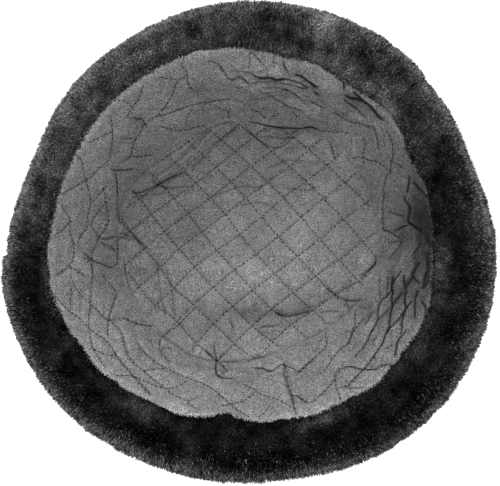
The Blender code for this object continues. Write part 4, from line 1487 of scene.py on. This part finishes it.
def add_packed_fur(name, sections, material, node):
    """Packed ground of the pile, in soft locks: a closed shell that the strands' ends come out of."""
    columns = int((sections[-1][0] - sections[0][0]) * PACKED_COLUMNS)
    points, out, row_way = flap_skin(sections, columns, PACKED_FOLD_ROWS, PACKED_HANG_ROWS)
    round_arc, down_arc = arc_lengths(points)
    u, v = np.meshgrid(round_arc, down_arc, indexing="ij")
    locks = 0
    for size, rise in PACKED_LOCKS:
        locks = locks + rise * noise(u / size + size, v / size, 71)
    pile = np.interp(row_way, *np.array(FUR_LENGTH).T)[None, :]
    from_end = np.minimum(u, round_arc[-1] - u)
    height = pile * PACKED * np.sqrt(np.clip(from_end / 2.5 + 0.75, 0, 1)) + locks
    azimuth = np.degrees(np.arctan2(points[..., 1], points[..., 0]))
    height = height + rim_droop(azimuth, row_way[None, :])
    outer = points + out * np.maximum(height, 0.4)[..., None]
    inner = points[:, ::-1][:, ::5]
    shell = np.concatenate([outer, inner], axis=1)
    rows = shell.shape[1]
    faces = grid_faces(columns + 1, rows, False, True).tolist()
    faces += [list(range(rows)), [columns * rows + j for j in range(rows)]]
    i, j = np.meshgrid(np.arange(columns + 1) / columns, np.arange(rows) / rows, indexing="ij")
    uv = np.stack([i, j], axis=-1).reshape(-1, 2)
    piece = add_piece(name, shell.reshape(-1, 3), faces, material, node, uv)
    all_locks = np.pad(locks, ((0, 0), (0, rows - locks.shape[1])))
    # Painted light: the packed ground is a little lighter where its locks stand up
    add_values(piece, "tone", np.clip(fur_tone(shell, sections) + 0.03 * all_locks, 0.01, 0.9))


def add_all_fur(material):
    few = 1
    for flap, end, share in FUR_STRETCHES:
        for part, rows, density, width in FUR_PARTS:
            name = f"{flap}_fur_{part}{end}"
            add_fur(name, FLAPS[flap], share, rows, density * few, width, material, flap + "_fur")


# Crown and flap cloth


def add_backing(name, sections, material, node):
    """Cloth side of a flap."""
    columns = int((sections[-1][0] - sections[0][0]) / 2)
    points, out, _ = flap_skin(sections, columns, BACKING_FOLD_ROWS, BACKING_HANG_ROWS)
    column, row = np.indices(points.shape[:2])
    ripple = 0.25 * noise(column / 6.0, row / 5.0, 81)
    outer = points - out * BACKING_GAP
    inner = points - out * (BACKING_GAP + CLOTH + np.maximum(ripple, -0.2))[..., None]
    shell = np.concatenate([outer, inner[:, ::-1]], axis=1)
    rows = shell.shape[1]
    faces = grid_faces(columns + 1, rows, False, True).tolist()
    for first in (0, columns * rows):
        last = first + rows - 1
        faces += [(first + j, first + j + 1, last - 1 - j, last - j) for j in range(rows // 2 - 1)]
    add_piece(name, shell.reshape(-1, 3), faces, material, node)


def add_crown_wall(material):
    """Outer cloth of the crown from its rounded edge up to the rim, with shallow ripples."""
    azimuth = np.arange(CROWN_COLUMNS)[:, None] * 360 / CROWN_COLUMNS
    edge_turn = np.radians(np.linspace(0, 66, 7))
    edge_height = CLOTH / 2 + SHOULDER * (1 - np.cos(edge_turn))
    edge_radius = tip_radius(azimuth) - 1 + SHOULDER * np.sin(edge_turn) * 0.9
    wall_height = np.linspace(7, RIM, 36)
    wall = crown_radius(azimuth, wall_height) - CLOTH / 2
    radius = np.concatenate([edge_radius, wall], axis=1)
    height = np.broadcast_to(np.concatenate([edge_height, wall_height]), radius.shape)
    ripple = 0.5 * noise(azimuth / 9, height / 16, 91) + 0.3 * noise(azimuth / 3.5, height / 8, 92)
    ripple = ripple * np.clip((height - 3) / 12, 0, 1) * np.clip((RIM - height) / 20, 0, 1)
    middle = round_points(azimuth, radius, height)
    normal = ring_normals(middle)
    outer = middle + normal * (CLOTH / 2 + np.maximum(ripple, -0.3))[..., None]
    inner = middle - normal * CLOTH / 2
    points = np.concatenate([outer, inner[:, ::-1]], axis=1)
    faces = grid_faces(*points.shape[:2], True, True)
    add_piece("crown_band", points.reshape(-1, 3), faces, material, "crown_wall")


def add_crown_top(material):
    """Flat round panel of the crown, which the hat lies on."""
    azimuth = np.arange(PANEL_COLUMNS)[:, None] * 360 / PANEL_COLUMNS
    share, height = np.array(PANEL_OUTLINE).T
    radius = (tip_radius(azimuth) - 1 - GAP) * np.maximum(share, 0.002)
    points = round_points(azimuth, radius, height)
    rows = points.shape[1]
    faces = grid_faces(PANEL_COLUMNS, rows, True, False).tolist()
    centre = np.arange(PANEL_COLUMNS) * rows
    faces += [centre.tolist(), (centre + rows - 1).tolist()]
    add_piece("crown_panel", points.reshape(-1, 3), faces, material, "crown_top")


# Camera, light and floor


def add_camera():
    lens = SENSOR_WIDTH * FOCAL_PIXELS / PHOTO_WIDTH
    data = bpy.data.cameras.new("camera")
    data.lens, data.sensor_width, data.sensor_fit = lens, SENSOR_WIDTH, "HORIZONTAL"
    data.clip_start = 0.01
    camera = bpy.data.objects.new("camera", data)
    camera.location = (0, 0, CAMERA_HEIGHT * MM)
    camera.rotation_euler = (0, 0, math.radians(PHOTO_RIGHT))
    bpy.context.scene.collection.objects.link(camera)
    bpy.context.scene.camera = camera


def add_light():
    """Square soft light that faces the middle of the hat."""
    data = bpy.data.lights.new("key", "AREA")
    data.size, data.energy = KEY_SIZE, KEY_POWER
    light = bpy.data.objects.new("key", data)
    turn, up = math.radians(KEY_AZIMUTH), math.radians(KEY_ELEVATION)
    away = Vector((math.cos(up) * math.cos(turn), math.cos(up) * math.sin(turn), math.sin(up)))
    facing = Matrix.Rotation(turn, 4, "Z") @ Matrix.Rotation(math.pi / 2 - up, 4, "Y")
    light.matrix_world = Matrix.Translation(KEY_DISTANCE * away) @ facing
    bpy.context.scene.collection.objects.link(light)


def add_floor():
    mesh = bpy.data.meshes.new("floor")
    corners = [(x * FLOOR_HALF, y * FLOOR_HALF, 0) for x, y in ((-1, -1), (1, -1), (1, 1), (-1, 1))]
    mesh.from_pydata(corners, [], [(0, 1, 2, 3)])
    made, shader, _, _ = new_material("floor", 0.9)
    shader.inputs["Base Color"].default_value = (0.9, 0.9, 0.9, 1)
    shader.inputs["Emission Color"].default_value = (1, 1, 1, 1)
    shader.inputs["Emission Strength"].default_value = FLOOR_GLOW
    mesh.materials.append(made)
    floor = bpy.data.objects.new("floor", mesh)
    bpy.context.scene.collection.objects.link(floor)
    floor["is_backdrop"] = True


def set_scene():
    world = bpy.data.worlds.new("studio")
    bpy.context.scene.world = world
    world.use_nodes = True
    sky = world.node_tree.nodes["Background"]
    sky.inputs["Color"].default_value = (1, 1, 1, 1)
    sky.inputs["Strength"].default_value = SKY_STRENGTH
    bpy.context.scene.view_settings.view_transform = "Standard"
    add_floor()
    add_light()
    add_camera()


def main():
    lining, packed = lining_material(), packed_fur_material()
    tip, band = lining_tip(lining), lining_band(lining)
    thread, tree = thread_material(), lining_tree((tip, band))
    add_stitches("stitches_tip", tip_seams(), tree, thread, "lining_top")
    add_stitches("stitches_wall", wall_seams(), tree, thread, "lining_wall")
    for flap, sections in FLAPS.items():
        cloth = cloth_material(flap + "_cloth", FLAP_GREY)
        add_packed_fur(flap + "_packed_fur", sections, packed, flap + "_fur")
        add_backing(flap + "_cloth", sections, cloth, flap + "_backing")
    add_all_fur(fur_material())
    crown = cloth_material("crown_cloth", CROWN_GREY)
    add_crown_wall(crown)
    add_crown_top(crown)
    set_scene()
    boxes = {"cad": CAD_BOX, "visual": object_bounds()}
    {name: [list(corner) for corner in box] for name, box in boxes.items()}


main()
